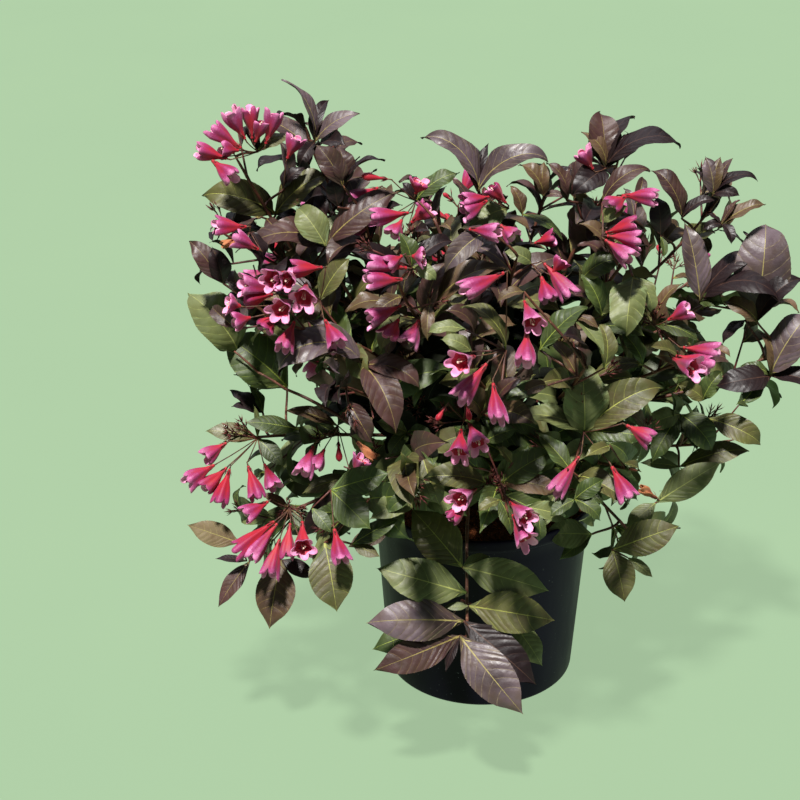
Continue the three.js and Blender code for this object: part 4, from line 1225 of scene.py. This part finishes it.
def join_to_shoot(node):
    """A twig from the nearest shoot to a sprig's node."""
    best = None
    for curve in [shoot["curve"] for shoot in shoots] + boughs:
        gaps = np.linalg.norm(curve.points - node, axis=1) + 0.5 * np.maximum(0, curve.points[:, 2] - node[2])
        k = int(np.argmin(gaps))
        if best is None or gaps[k] < best[0]:
            best = (gaps[k], curve.points[k], curve.tangents[k])
    gap, start, tangent = best
    if gap < 3:
        return
    straight = unit(node - start)
    curve = Curve(start, unit(tangent * 0.6 + straight), node, unit(straight + TOWARD * 0.3))
    points = slice(0, None, 6)
    radii = mix(1.5, 1.1, np.linspace(0, 1, len(curve.points[points])))
    tube(curve.points[points], curve.tangents[points], curve.across[points], radii, 6, twigs, TWIG_OLD)
    stems_room.put(list(curve.points[6::6]))


IN_FRONT = 8  # how much nearer to the front than its shoot a sprig's node lies
FRONT_COUNTS = 0.1  # how many pixels a shoot may lie further off for each millimetre nearer to the front
HEAD_FORWARD, FLOWER_FORWARD, FACING_FROM = 0.5, 0.25, 0.5
LEAF_WIDTH = 0.46
# leaves as wide as they were read looked too wide in the render, and dark ones more so
READ_WIDE, READ_WIDE_DARK = 0.96, 0.88
DARK_LEAVES = ("plum", "lilac", "dark", "bronze")


def depth_on(node, on):
    """How deep a sprig's node lies on the shoot that is named."""
    points = [p for shoot in shoots if shoot["name"].endswith(on) for p in shoot["curve"].points[::2]]

    def away(point):
        across, down = pixel_of(point)
        return math.hypot(across - node[0], down - node[1]) + FRONT_COUNTS * point[1]

    return min(points, key=away)[1] - IN_FRONT


def place_leaf(node, tip, forward, turn, colour, width=LEAF_WIDTH, curl=None, own_base=None):
    base = forward_of(own_base, node, 0.0) if own_base else node
    width = round(width * (READ_WIDE_DARK if colour in DARK_LEAVES else READ_WIDE), 2)
    return whole(forward_of(tip, base, forward)), turn, colour, width, curl, whole(base) if own_base else None


def place_flower(node, neck, mouth, forward=FLOWER_FORWARD, kind=None):
    neck = forward_of(neck, node, HEAD_FORWARD)
    kind = kind or ("facing" if forward >= FACING_FROM else "open")
    return whole(neck), whole(forward_of(mouth, neck, forward)), kind


def place_mark(node, leaf_marks, flower_marks, spent, y, on):
    """A marked sprig in the frame, in whole millimetres."""
    place = at_depth(*node, depth_on(node, on) if y is None else y)
    return (whole(place), [place_leaf(place, *row) for row in leaf_marks],
            [place_flower(place, *row) for row in flower_marks],
            [whole(forward_of(pixel, place, HEAD_FORWARD)) for pixel in spent])


SPRIG_YOUTH, FLAT_BELOW = 0.2, 300
SEEN_GAP, LIT_GAP = 6.5, 4.5
CURL_DROOPS = 0.35
THIN_TWIG = 1.1


def grow_marked_leaves(node, leaf_rows):
    node = np.array(node, float)
    join_to_shoot(node)
    for tip, turn, colour, width, curl, own_base in leaf_rows:
        base = np.array(own_base, float) if own_base else node
        along = np.array(tip, float) - base
        form = leaf_form(SPRIG_YOUTH, node[2] < FLAT_BELOW)
        form["width"] = width
        if curl is not None:
            form["curl"], form["droop"] = curl, form["droop"] + CURL_DROOPS * curl
        direction = unit(along)
        leaf = {"base": base, "direction": direction, "face": seen_face(direction, turn),
                "length": float(np.linalg.norm(along)), "form": form, "colour": colour, "marked": True}
        samples = shape_leaf(leaf, SKETCH)
        leaf["middle"] = samples[SKETCH_MIDDLE]
        room.put(samples[::2])
        leaves_seen.put(samples, SEEN_GAP)
        leaves_lit.put(samples, LIT_GAP)
        if own_base:
            straight_tube(node, base, THIN_TWIG, TWIG_TIP, 5, twigs, TWIG_YOUNG)
        leaves.append(leaf)


def flower_samples(neck, mouth):
    """Points down the middle of a flower and at its sides, as the front shows it."""
    side = unit(np.cross(unit(mouth - neck), TOWARD))
    middle = [mix(neck, mouth, t) for t in (0.1, 0.4, 0.7, 1.0)]
    edges = [mix(neck, mouth, t) + side * w for t, w in ((0.6, 6), (0.6, -6), (0.95, 7), (0.95, -7))]
    return np.array(middle + edges)


def nearer(point, step):
    """A point brought nearer to the front, in the same line of sight."""
    return point + unit(EYE - point) * step


FAR_IN_FRONT, CLEARANCE = 75, 3  # leaves further in front than this don't count
LIT_STEPS, LIT_STEP, MOST_IN_SHADE = 10, 5, 0.2


def way_clear(samples):
    """How far towards the front a flower has to come out of the marked leaves to be seen and lit."""
    gaps = leaves_seen.covered(samples)
    step = max(0.0, float(np.max(gaps[gaps < FAR_IN_FRONT], initial=0)) + CLEARANCE)
    for _ in range(LIT_STEPS):
        if np.mean(leaves_lit.covered(samples + TOWARD * step) > 2) < MOST_IN_SHADE:
            break
        step += LIT_STEP
    return step


FACING_LENGTH = 31.0
OWN_SEAT_FROM = 8
SEEN_RADIUS, LIT_RADIUS = 6, 5
SPENT_STALK = 10


def grow_marked_flowers(node, flower_rows, spent):
    """A sprig's flowers, moved out of its leaves towards the front, and its spent calyxes."""
    node = np.array(node, float)
    rows = []
    for neck, mouth, kind in flower_rows:
        neck, mouth = np.array(neck, float), np.array(mouth, float)
        across = mouth - neck
        short = max(0.0, FACING_LENGTH**2 - float(across @ across)) if kind == "facing" else 0.0
        rows.append((neck, mouth + TOWARD * math.sqrt(short), kind))
    steps = [way_clear(flower_samples(neck, mouth))
             for neck, mouth, kind in rows if kind in ("open", "facing")]
    step = float(np.max(steps, initial=0))
    seat = node
    if step > OWN_SEAT_FROM:
        seat = nearer(node, step * 0.9)
        straight_tube(node, seat, THIN_TWIG, 0.9, 5, twigs, TWIG_YOUNG)
    for neck, mouth, kind in rows:
        if kind != "behind":
            neck, mouth = nearer(neck, step), nearer(mouth, step)
            samples = flower_samples(neck, mouth)
            flowers_seen.put(samples, SEEN_RADIUS)
            flowers_lit.put(samples, LIT_RADIUS)
        room.put(flower_samples(neck, mouth)[:4])
        add_flower(node if kind == "behind" else seat, neck, mouth, "open" if kind == "behind" else kind)
    for end in spent:
        end = np.array(end, float)
        way = unit(end - node)
        foot = end - way * SPENT_STALK
        straight_tube(node, foot, THIN_TWIG, TWIG_TIP, 5, twigs, TWIG_YOUNG)
        for k in range(4):
            add_tuft(foot - way * 1.5 * k, way + basis(way, 1.9 * k)[0] * 0.45, 0.7, 0.95)


marked = [place_mark(*one) for one in MARKS]
for node, leaf_rows, *_ in marked:
    grow_marked_leaves(node, leaf_rows)
for node, _, flower_rows, spent in marked:
    grow_marked_flowers(node, flower_rows, spent)
for stem in BARE_STEMS:
    bends = [np.array(whole(at_depth(*bend)), float) for bend in stem]
    thick = np.linspace(1.9, 1.0, len(bends))
    for start, end, radius, tip in zip(bends, bends[1:], thick, thick[1:]):
        straight_tube(start, end, radius, tip, 7, twigs, TWIG_OLD, 5, -0.8)
        stems_room.put([mix(start, end, t) for t in (0, 0.25, 0.5, 0.75, 1)])
for shoot in shoots:
    if not shoot["name"].endswith("hanger"):  # all of this one's leaves are marked
        grow_shoot(shoot)
for curve in boughs:
    grow_bough_twigs(curve)

# ---------------------------------------------------------------- wood

KNOT_SPACING = 29
for shoot in shoots:
    curve = shoot["curve"]
    share = np.linspace(0, 1, len(curve.points))
    along = share * curve.length
    radii = mix(STEM["root"], STEM["tip"], share)
    knots = np.abs(((along - BARE_FOOT) / KNOT_SPACING + 0.5) % 1 - 0.5) * KNOT_SPACING
    radii = radii * (1 + 0.22 * np.exp(-((knots / 2.5) ** 2)))
    radii[-3:] *= (0.85, 0.65, 0.25)
    tube(curve.points, curve.tangents, curve.across, radii, 8, twigs, TWIG_OLD)

BARK_SIDES = 14


def bark_limb(curve):
    """A bough that swells at its fork, with furrows that wind up it."""
    share = np.linspace(0, 1, len(curve.points))
    swelling = (BOUGH["node"] - BOUGH["tip"]) * np.exp(-(((1 - share) * curve.length / 5) ** 2))
    radii = mix(BOUGH["root"], BOUGH["tip"], share) + swelling
    furrows = [[math.sin(3 * a + 7 * s) * 0.5 + math.sin(5 * a - 31 * s + 1.3) * 0.3
                + math.sin(90 * s + 2 * a) * 0.2
                for a in around(BARK_SIDES)] for s in share]
    width = radii[:, None] * (1 + 0.07 * np.array(furrows))
    tube(curve.points, curve.tangents, curve.across, width, BARK_SIDES, wood, 0, (2, BOUGH["node"] * 0.8))


for curve in boughs:
    bark_limb(curve)


def lathe(profile, sides, batch, swell):
    """A profile of (radius, height) turned about the upright axis. It starts and ends on the axis."""
    angles = around(sides)
    rows = []
    for radius, height in profile:
        r = radius + swell(angles, radius, height)
        rows.append(np.stack([r * np.cos(angles), r * np.sin(angles), np.full(sides, float(height))], 1))
    batch.add(np.concatenate(rows), grid_quads(len(profile), sides, closed=True), 0)


def old_wood(angles, radius, height):
    swell = np.sin(5 * angles + height * 0.21) * 0.5 + np.sin(9 * angles - height * 0.34 + 1) * 0.3
    return (0.6 + 0.035 * radius) * swell


foot = COMPOST_TOP + CLEAR
crown_profile = [(0.01, foot), (26, foot), (20, foot + 4), (17, foot + 9), (15.3, foot + 17), (15, foot + 22)]
for k in range(9):
    angle = mix(-0.62, math.pi / 2, k / 8)
    crown_profile.append((max(0.01, HEAD_RADIUS * math.cos(angle)), HEAD[2] + HEAD_RADIUS * math.sin(angle)))
lathe(crown_profile, 40, wood, old_wood)

# ---------------------------------------------------------------- flowers

blossom = Batch()
SHADES = 9
LINING, THROAT, STAMEN, CALYX, FADED = range(SHADES, SHADES + 5)
# share of the length and radius, for the tube and for the part that opens
TUBE = ((0.0, 0.046), (0.08, 0.054), (0.16, 0.065), (0.24, 0.082), (0.32, 0.108), (0.4, 0.141), (0.48, 0.173),
        (0.57, 0.205), (0.66, 0.232))
MOUTHS = {"open": ((0.75, 0.253), (0.82, 0.266), (0.88, 0.276), (0.94, 0.28), (1.0, 0.27)),
          "facing": ((0.75, 0.258), (0.82, 0.272), (0.88, 0.29), (0.94, 0.306), (1.0, 0.312))}
LOBES_FROM = 0.79
LOBES = 5
SIDES = 30
LINING_FROM = 6  # the ring where the lining starts, at the bottom of the throat


def flower_template(mouth):
    """A funnel whose rim parts into five rounded lobes, with its lining. It pales from foot to rim."""
    profile = TUBE + mouth
    angles = around(SIDES)
    lobe = np.abs(np.cos(LOBES / 2 * angles)) ** 0.38
    shares, widths = zip(*profile)
    outer = []
    for share in shares:
        reach = np.full(SIDES, share)
        if share > LOBES_FROM:
            reach = LOBES_FROM + (share - LOBES_FROM) * (0.2 + 0.8 * lobe)
        width = np.interp(reach, shares, widths) * (1 + 0.12 * smooth(share / 0.6) * np.cos(LOBES * angles))
        outer.append(np.stack([width * np.cos(angles), width * np.sin(angles), reach], 1))
    inner = []
    for ring, (share, radius) in reversed(list(zip(outer, profile))[LINING_FROM:]):
        shrunk = ring.copy()
        shrunk[:, :2] *= 1 - 0.014 / radius
        shrunk[:, 2] -= 0.003 if share > LOBES_FROM else 0
        inner.append(shrunk)
    rings = outer + inner
    points = np.concatenate(rings + [np.array([[0, 0, 0.44]])])
    last = (len(rings) - 1) * SIDES
    k = np.arange(SIDES)
    end = np.full(SIDES, len(points) - 1)
    floor = np.stack([last + k, last + (k + 1) % SIDES, end, end], 1)
    kinds = np.empty((len(rings) - 1, SIDES), int)
    # a paler shade on each pleat's ridge and a deeper one in its groove: painted highlight and painted shade
    pleat_highlight = np.cos(LOBES * (angles + math.pi / SIDES))
    bands = len(outer) - 1
    for band in range(bands):
        level = 7.6 * ((band + 0.5) / bands) ** 1.15 + 0.85 * pleat_highlight * smooth(band / 6)
        kinds[band] = np.clip(np.round(level), 0, SHADES - 1)
    kinds[bands] = SHADES - 1
    kinds[bands + 1:] = LINING
    kinds[-3:] = THROAT
    quads = np.concatenate([grid_quads(len(rings), SIDES, closed=True), floor])
    return points, quads, np.concatenate([kinds.ravel(), np.full(SIDES, THROAT)])


FLOWERS = {kind: flower_template(mouth) for kind, mouth in MOUTHS.items()}
SEPALS, SEPAL_LENGTH = 5, 8.5
# a sepal's points as share along, across and lift
SEPAL = ((-0.05, -0.6, 0), (-0.05, 0.6, 0), (0.4, -0.75, 0.2), (0.4, 0.75, 0.2), (0.4, 0, 0.8), (1, 0, 0))
SEPAL_FACES = np.array([[0, 1, 3, 2], [1, 0, 4, 4], [0, 2, 4, 4], [3, 1, 4, 4], [2, 3, 5, 5], [4, 2, 5, 5],
                        [3, 4, 5, 5]])


def calyx(base, neck, direction, size, turn, spread=0.35):
    """The ovary on its stalk, and five narrow sepals."""
    straight_tube(base, neck - direction * 4, 0.55, 0.6, 5, twigs, PEDICEL, 3, 0.8)
    straight_tube(neck - direction * 5, neck, 0.6, 0.95 * size, 5, twigs, PEDICEL, 1)
    one, two = basis(direction, turn)
    for angle in around(SEPALS):
        way = one * math.cos(angle) + two * math.sin(angle)
        side = np.cross(direction, way)
        length = SEPAL_LENGTH * size * rng.uniform(0.8, 1.15)
        lean = spread * rng.uniform(0.6, 1.3)
        points = [neck + direction * length * share * math.cos(lean)
                  + way * (0.8 + length * share * math.sin(lean) + lift) + side * across
                  for share, across, lift in SEPAL]
        blossom.add(np.array(points), SEPAL_FACES, CALYX)


# how far each lobe spreads, and stretches, in its own measure
LOBES_SPREAD = {"open": (-0.25, 0.22), "facing": (-0.05, 0.3)}
LOBES_STRETCH = (-0.08, 0.1)
FLOWER_WIDTH = (31, 35)
WARMER = (-2, -1, 0, 0, 1)  # by how many shades a flower is redder than most
BENT = 2.8
FADED_SIZE, FADED_CRINKLE = (0.6, 0.5, 0.9), 1.6


def put_flower(flower):
    facing, faded = flower["kind"] == "facing", flower["kind"] == "faded"
    shape = "facing" if facing else "open"
    points, quads, kinds = FLOWERS[shape]
    direction, length, neck = flower["direction"], flower["length"], flower["neck"]
    calyx(flower["base"], neck, direction, 1.0, flower["turn"])
    one, two = basis(direction, flower["turn"])
    wide = rng.uniform(*FLOWER_WIDTH)
    size = np.array([wide, wide * rng.uniform(0.88, 1), length])
    warmer = rng.choice(WARMER)
    kinds = np.where((kinds < SHADES) & (kinds > 1), np.clip(kinds + warmer, 1, SHADES - 1), kinds)
    if faded:
        size, kinds = size * FADED_SIZE, np.full(len(quads), FADED)
    shaped = points * size
    place_round = np.arctan2(points[:, 1], points[:, 0])
    if not faded:
        which = np.round(place_round / (2 * math.pi) * LOBES).astype(int) % LOBES
        parted = np.maximum(points[:, 2] - LOBES_FROM, 0) / (1 - LOBES_FROM)
        lean = np.array([rng.uniform(*LOBES_SPREAD[shape]) for _ in range(LOBES)])[which]
        shaped[:, :2] *= (1 + lean * parted**1.4)[:, None]
        longer = np.array([rng.uniform(*LOBES_STRETCH) for _ in range(LOBES)])[which]
        shaped[:, 2] += longer * length * parted
    bend = rng.uniform(-BENT, BENT) * points[:, 2] ** 2
    if faded:
        bend = bend + FADED_CRINKLE * np.sin(points[:, 2] * 9 + 3 * place_round)
    body = neck - direction * 0.5 + np.outer(shaped[:, 0] + bend, one) + np.outer(shaped[:, 1], two)
    blossom.add(body + np.outer(shaped[:, 2], direction), quads, kinds)
    if not faded:
        put_stamens(neck, direction, length, one, two, one * bend[-1])


# where the stamens leave the tube and where the style and the anthers end, as shares of the flower's length
STAMENS_FROM, STYLE_TO, ANTHERS_TO = 0.3, 0.84, 0.74
ANTHERS = 3


def put_stamens(neck, direction, length, one, two, lean):
    """The style with its stigma, and the anthers that show."""
    foot = neck + direction * length * STAMENS_FROM
    end = neck + direction * length * STYLE_TO + lean
    straight_tube(foot, end, 0.35, 0.3, 4, blossom, STAMEN, 2)
    straight_tube(end, end + direction * 1.4, 0.9, 0.9, 5, blossom, STAMEN, 1)
    for k in range(ANTHERS):
        angle = 2.09 * k + 0.5
        off = one * math.cos(angle) + two * math.sin(angle)
        top = neck + direction * length * ANTHERS_TO + off * 2.1
        straight_tube(foot + off * 0.6, top + direction * 1.8, 0.3, 0.45, 3, blossom, STAMEN, 1)


# share of the length and radius
BUD_RINGS = ((0, 0.05), (0.25, 0.055), (0.5, 0.11), (0.72, 0.16), (0.88, 0.13), (0.97, 0.05))
BUD_SHADE = 1
BUD_FULL_FROM, BUD_FULLNESS = 22, 1.15  # longer buds are no thicker


def put_bud(bud):
    neck, direction, length = bud["neck"], bud["direction"], bud["length"]
    calyx(bud["base"], neck, direction, 0.8, bud["turn"])
    one, _ = basis(direction, bud["turn"])
    share, radii = np.array(BUD_RINGS).T
    points = neck + np.outer(share, direction) * length
    along, across = np.broadcast_to(direction, points.shape), np.broadcast_to(one, points.shape)
    tube(points, along, across, radii * min(length, BUD_FULL_FROM) * BUD_FULLNESS, 10, blossom, BUD_SHADE)


for flower in flowers:
    (put_bud if flower["kind"] == "bud" else put_flower)(flower)
for tuft in tufts:
    neck = tuft["base"] + tuft["direction"] * PEDICEL_LENGTH * tuft["size"]
    calyx(tuft["base"], neck, tuft["direction"], tuft["size"], rng.uniform(0, 6), spread=0.5)

# ---------------------------------------------------------------- the pot and its compost

pot = Batch()
band = POT["height"] - POT["band"]


def pot_inside(height):
    return mix(POT["base"], POT["shoulder"], height / band) - POT["wall"]


# from the middle of the underside, up the wall, over the rim and down the inside
pot_profile = [(0.01, 0.8), (80, 0.8), (88, 0.6), (90, 0), (95.5, 0), (97.6, 0.7), (98.8, 2), (99.2, 4)]
pot_profile += [(mix(99.2, 112.6, k / 14), mix(4, band - 2, k / 14)) for k in range(1, 15)]
pot_profile += [(113.4, band - 0.6), (115.8, band + 0.2), (116.8, band + 1.2), (117.1, band + 4),
                (117.4, 203), (117.7, 206), (117.3, 207.4), (116.3, 208), (115, 207.8), (114.2, 207),
                (114, 204), (113, band + 1), (pot_inside(band), band - 2)]
pot_profile += [(pot_inside(h), h) for h in (180, 150, 100, 50, POT["floor"])] + [(0.01, POT["floor"])]


def dented(angles, radius, height):
    """A thin-walled pot is never quite round."""
    share = min(1.0, max(0.0, (height - 20) / 150))
    push = 0.7 * np.sin(2 * angles + 0.7) + 0.35 * np.sin(5 * angles - 1.2) - 0.35
    return push * share * (1 if radius > 95 else 0)


lathe(pot_profile, 144, pot, dented)

compost = Batch()
compost_rng = np.random.RandomState(5)
COMPOST_SIDES, CRUMBS = 120, 2600
# the mound's foot, where it falls to the pot's wall, its edge under the wall, and the flat seat of the crown
MOUND_FROM, FALLS_FROM, COMPOST_EDGE, SEAT = 42, 88, 108.6, 27
MOST_CRUMBS_PALE = 0.6
radii = np.concatenate([np.linspace(0.01, 106, 42), [COMPOST_EDGE]])
R, A = np.meshgrid(radii, around(COMPOST_SIDES), indexing="ij")
X, Y = R * np.cos(A), R * np.sin(A)
lumps = (np.sin(X * 0.31 + 1) * np.sin(Y * 0.27) + np.sin(X * 0.71 - Y * 0.63) * 0.6
         + np.sin(X * 1.7 + Y * 1.3) * 0.4)
swell, slope = np.sin(math.pi * np.clip((R - MOUND_FROM) / 66, 0, 1)), np.clip((R - FALLS_FROM) / 20, 0, 1)
Z = COMPOST_TOP - 0.6 + 1.6 * swell - 3.4 * slope + 0.55 * lumps
Z += compost_rng.uniform(-0.55, 0.55, Z.shape) * (R > 1)
Z = np.where(R < SEAT, np.minimum(Z, COMPOST_TOP), Z)
surface = np.stack([X, Y, Z], -1)
skirt = surface[-1:] - [0, 0, 30]
compost.add(np.concatenate([surface, skirt]).reshape(-1, 3),
            grid_quads(len(radii) + 1, COMPOST_SIDES, closed=True), 0)
CRUMB_FACES = np.array([[0, 1, 4, 4], [1, 2, 4, 4], [2, 3, 4, 4], [3, 0, 4, 4], [1, 0, 5, 5], [2, 1, 5, 5],
                        [3, 2, 5, 5], [0, 3, 5, 5]])
for _ in range(CRUMBS):
    r, a = 24 + 82 * math.sqrt(compost_rng.uniform()), compost_rng.uniform(0, FULL_TURN)
    size = compost_rng.uniform(0.5, 1.9)
    stretch = compost_rng.uniform(0.5, 3.2) if compost_rng.uniform() < 0.3 else 1.0
    height = COMPOST_TOP + 0.5 - 3.2 * max(0, (r - FALLS_FROM) / 20)
    centre = np.array([r * math.cos(a), r * math.sin(a), height])
    corners = compost_rng.normal(size=(3, 3))
    one = unit(corners[0] * [1, 1, 0.4])
    two = square_to(one, corners[1])
    three = np.cross(one, two)
    points = np.array([one * stretch, two * 0.7, -one * stretch, -two * 0.7, three * 0.7, -three * 0.7])
    compost.add(points * size + centre, CRUMB_FACES, 1 if compost_rng.uniform() < MOST_CRUMBS_PALE else 0)

# ---------------------------------------------------------------- making the pieces

mass_nodes = [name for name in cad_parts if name.startswith("shoots_")]
wood_nodes = [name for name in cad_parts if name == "crown" or name.startswith("bough_")]

bark = (Paint("bark", 0.85, 0.3).between((84, 58, 44), (128, 96, 72), 60, detail=6, stretch=(1, 1, 0.3))
        .flecked((150, 128, 104), 160, 0.55, 0.72, detail=5)
        .bumped(260, 0.6, 0.0012, detail=6, stretch=(1, 1, 0.35)).material)
piece = wood.make("bark_limbs", [bark])
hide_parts(*wood_nodes)

twig_old = (Paint("stem_old", 0.55, 0.45).between((68, 36, 29), (106, 60, 43), 90, detail=4)
            .flecked((150, 112, 82), 420, 0.6, 0.72).bumped(500, 0.3, 0.0005, detail=4).material)
twig_young = (Paint("stem_young", 0.5, 0.5).between((64, 28, 28), (102, 50, 41), 110, detail=3)
              .bumped(600, 0.25, 0.0004).material)
pedicel = fine_paint("stalk", (66, 34, 34), (104, 72, 48), 150, 0.55, 0.4)
piece = twigs.make("stems_and_twigs", [twig_old, twig_young, pedicel])
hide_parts(*mass_nodes)

OUTER_SHELL, OUTER_FROM = np.array([290.0, 260.0, 240.0]), 0.8
batches = {name: Batch() for name in LEAF_COLOURS}
for leaf in leaves:
    out = np.linalg.norm((leaf["middle"] - HEART) / OUTER_SHELL)
    outer = out > OUTER_FROM or leaf["middle"][1] < FOREMOST
    level = NEAR if leaf.get("marked") else MIDDLING if outer else FAR
    t = TEMPLATES[level]
    batches[leaf["colour"]].add(shape_leaf(leaf, level), t["quads"], t["kinds"])
for name, batch in batches.items():
    if batch.points:
        piece = batch.make(f"leaves_{name}", leaf_materials(name))


def petal_paint(name, low, high, roughness=0.55):
    paint = Paint(name, roughness, 0.35, (0.2, (255, 215, 240)))
    return paint.between(low, high, 120, 0.3, 0.7, detail=3).bumped(800, 0.2, 0.0003, detail=2).material


# from the tube's foot to the rims of the lobes
PETAL_SHADES = ((170, 22, 32), (172, 24, 40), (166, 25, 48), (158, 28, 60), (152, 32, 74), (150, 41, 91),
                (156, 57, 110), (178, 84, 136), (204, 122, 168))
PETAL_RED = (110, 10, 50)
petals = [petal_paint(f"petal_{number}", mix_rgb(shade, PETAL_RED, 0.12), mix_rgb(shade, after, 0.6))
          for number, (shade, after) in enumerate(zip(PETAL_SHADES, PETAL_SHADES[1:] + PETAL_SHADES[-1:]))]
petals += [
    # the lining's pale pink is partly its own colour and partly painted light, paler to stand in for light
    # shining through the petals into the throat
    petal_paint("petal_lining", (222, 132, 178), (240, 176, 208)),
    petal_paint("petal_throat", (186, 44, 78), (206, 84, 100)),
    fine_paint("stamen", (226, 196, 176), (244, 226, 206), 200, 0.6, 0.3),
    fine_paint("calyx", (70, 28, 32), (116, 54, 46), 150, 0.6, 0.4),
    petal_paint("petal_faded", (150, 84, 48), (190, 124, 80), 0.7),
]
piece = blossom.make("blossom", petals)

# The pot is black plastic; its blue tint and the broad lighter blue-grey streaks up its side are painted
# reflections of the sky in its gloss. The pale specks are dust.
plastic = (Paint("pot_plastic", 0.42, 0.07)
           .between((13, 7, 20), (37, 30, 55), 8, 0.46, 0.62, detail=2, stretch=(1, 1, 0.35))
           .flecked((84, 86, 94), 300, 0.7, 0.76, detail=3)
           .rough(26, 0.32, 0.5, detail=4, stretch=(1, 1, 0.25))
           .bumped(30, 0.2, 0.002, detail=3, stretch=(1, 1, 0.3)).material)
piece = pot.make("pot_shell", [plastic])
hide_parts("pot")

coir = [
    Paint("compost_dark", 0.95, 0.2).between((74, 40, 22), (132, 74, 42), 160, detail=6)
    .bumped(420, 0.8, 0.002, detail=6).material,
    Paint("compost_crumb", 0.95, 0.2).between((150, 80, 44), (196, 118, 70), 180, detail=5)
    .bumped(600, 0.5, 0.001).material,
]
piece = compost.make("compost_surface", coir, flat=True)
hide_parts("compost")

# ---------------------------------------------------------------- floor, light and camera

FLOOR = 30
floor_mesh = bpy.data.meshes.new("floor")
floor_mesh.from_pydata([(-FLOOR, -FLOOR, 0), (FLOOR, -FLOOR, 0), (FLOOR, FLOOR, 0), (-FLOOR, FLOOR, 0)], [],
                       [(0, 1, 2, 3)])
ground = Paint("floor", 1.0, 0.0).between((57, 69, 54), (59, 71, 55), 3)
ground.shader.inputs["Emission Color"].default_value = linear((161, 189, 153))
ground.shader.inputs["Emission Strength"].default_value = 1.0
floor_mesh.materials.append(ground.material)
floor = bpy.data.objects.new("floor", floor_mesh)
bpy.context.collection.objects.link(floor)

world = bpy.data.worlds.new("world")
world.use_nodes = True
background = world.node_tree.nodes["Background"]
background.inputs["Color"].default_value = (0.82, 0.90, 1.0, 1)
background.inputs["Strength"].default_value = 0.1
bpy.context.scene.world = world


def turned(thing, way):
    """Point a light or the camera that way."""
    thing.rotation_mode = "QUATERNION"
    thing.rotation_quaternion = Vector(way).to_track_quat("-Z", "Y")
    bpy.context.collection.objects.link(thing)
    return thing


def sun(name, way, strength, angle, colour):
    data = bpy.data.lights.new(name, "SUN")
    data.energy, data.angle, data.color = strength, angle, colour
    turned(bpy.data.objects.new(name, data), way)


sun("key", [-way for way in LIGHT_FROM], 6.3, 0.1, (1.0, 0.975, 0.94))
sun("sky", (0.25, -0.75, -1.0), 0.78, 1.2, (0.86, 0.9, 1.0))

bpy.context.scene.view_settings.view_transform = "Standard"
camera_data = bpy.data.cameras.new("camera")
camera_data.sensor_width = 36
camera_data.lens = FOCAL * camera_data.sensor_width / PHOTO_SIZE
camera = bpy.data.objects.new("camera", camera_data)
camera.location = Vector(EYE * MM)
bpy.context.scene.camera = turned(camera, Vector(AIM * MM) - camera.location)
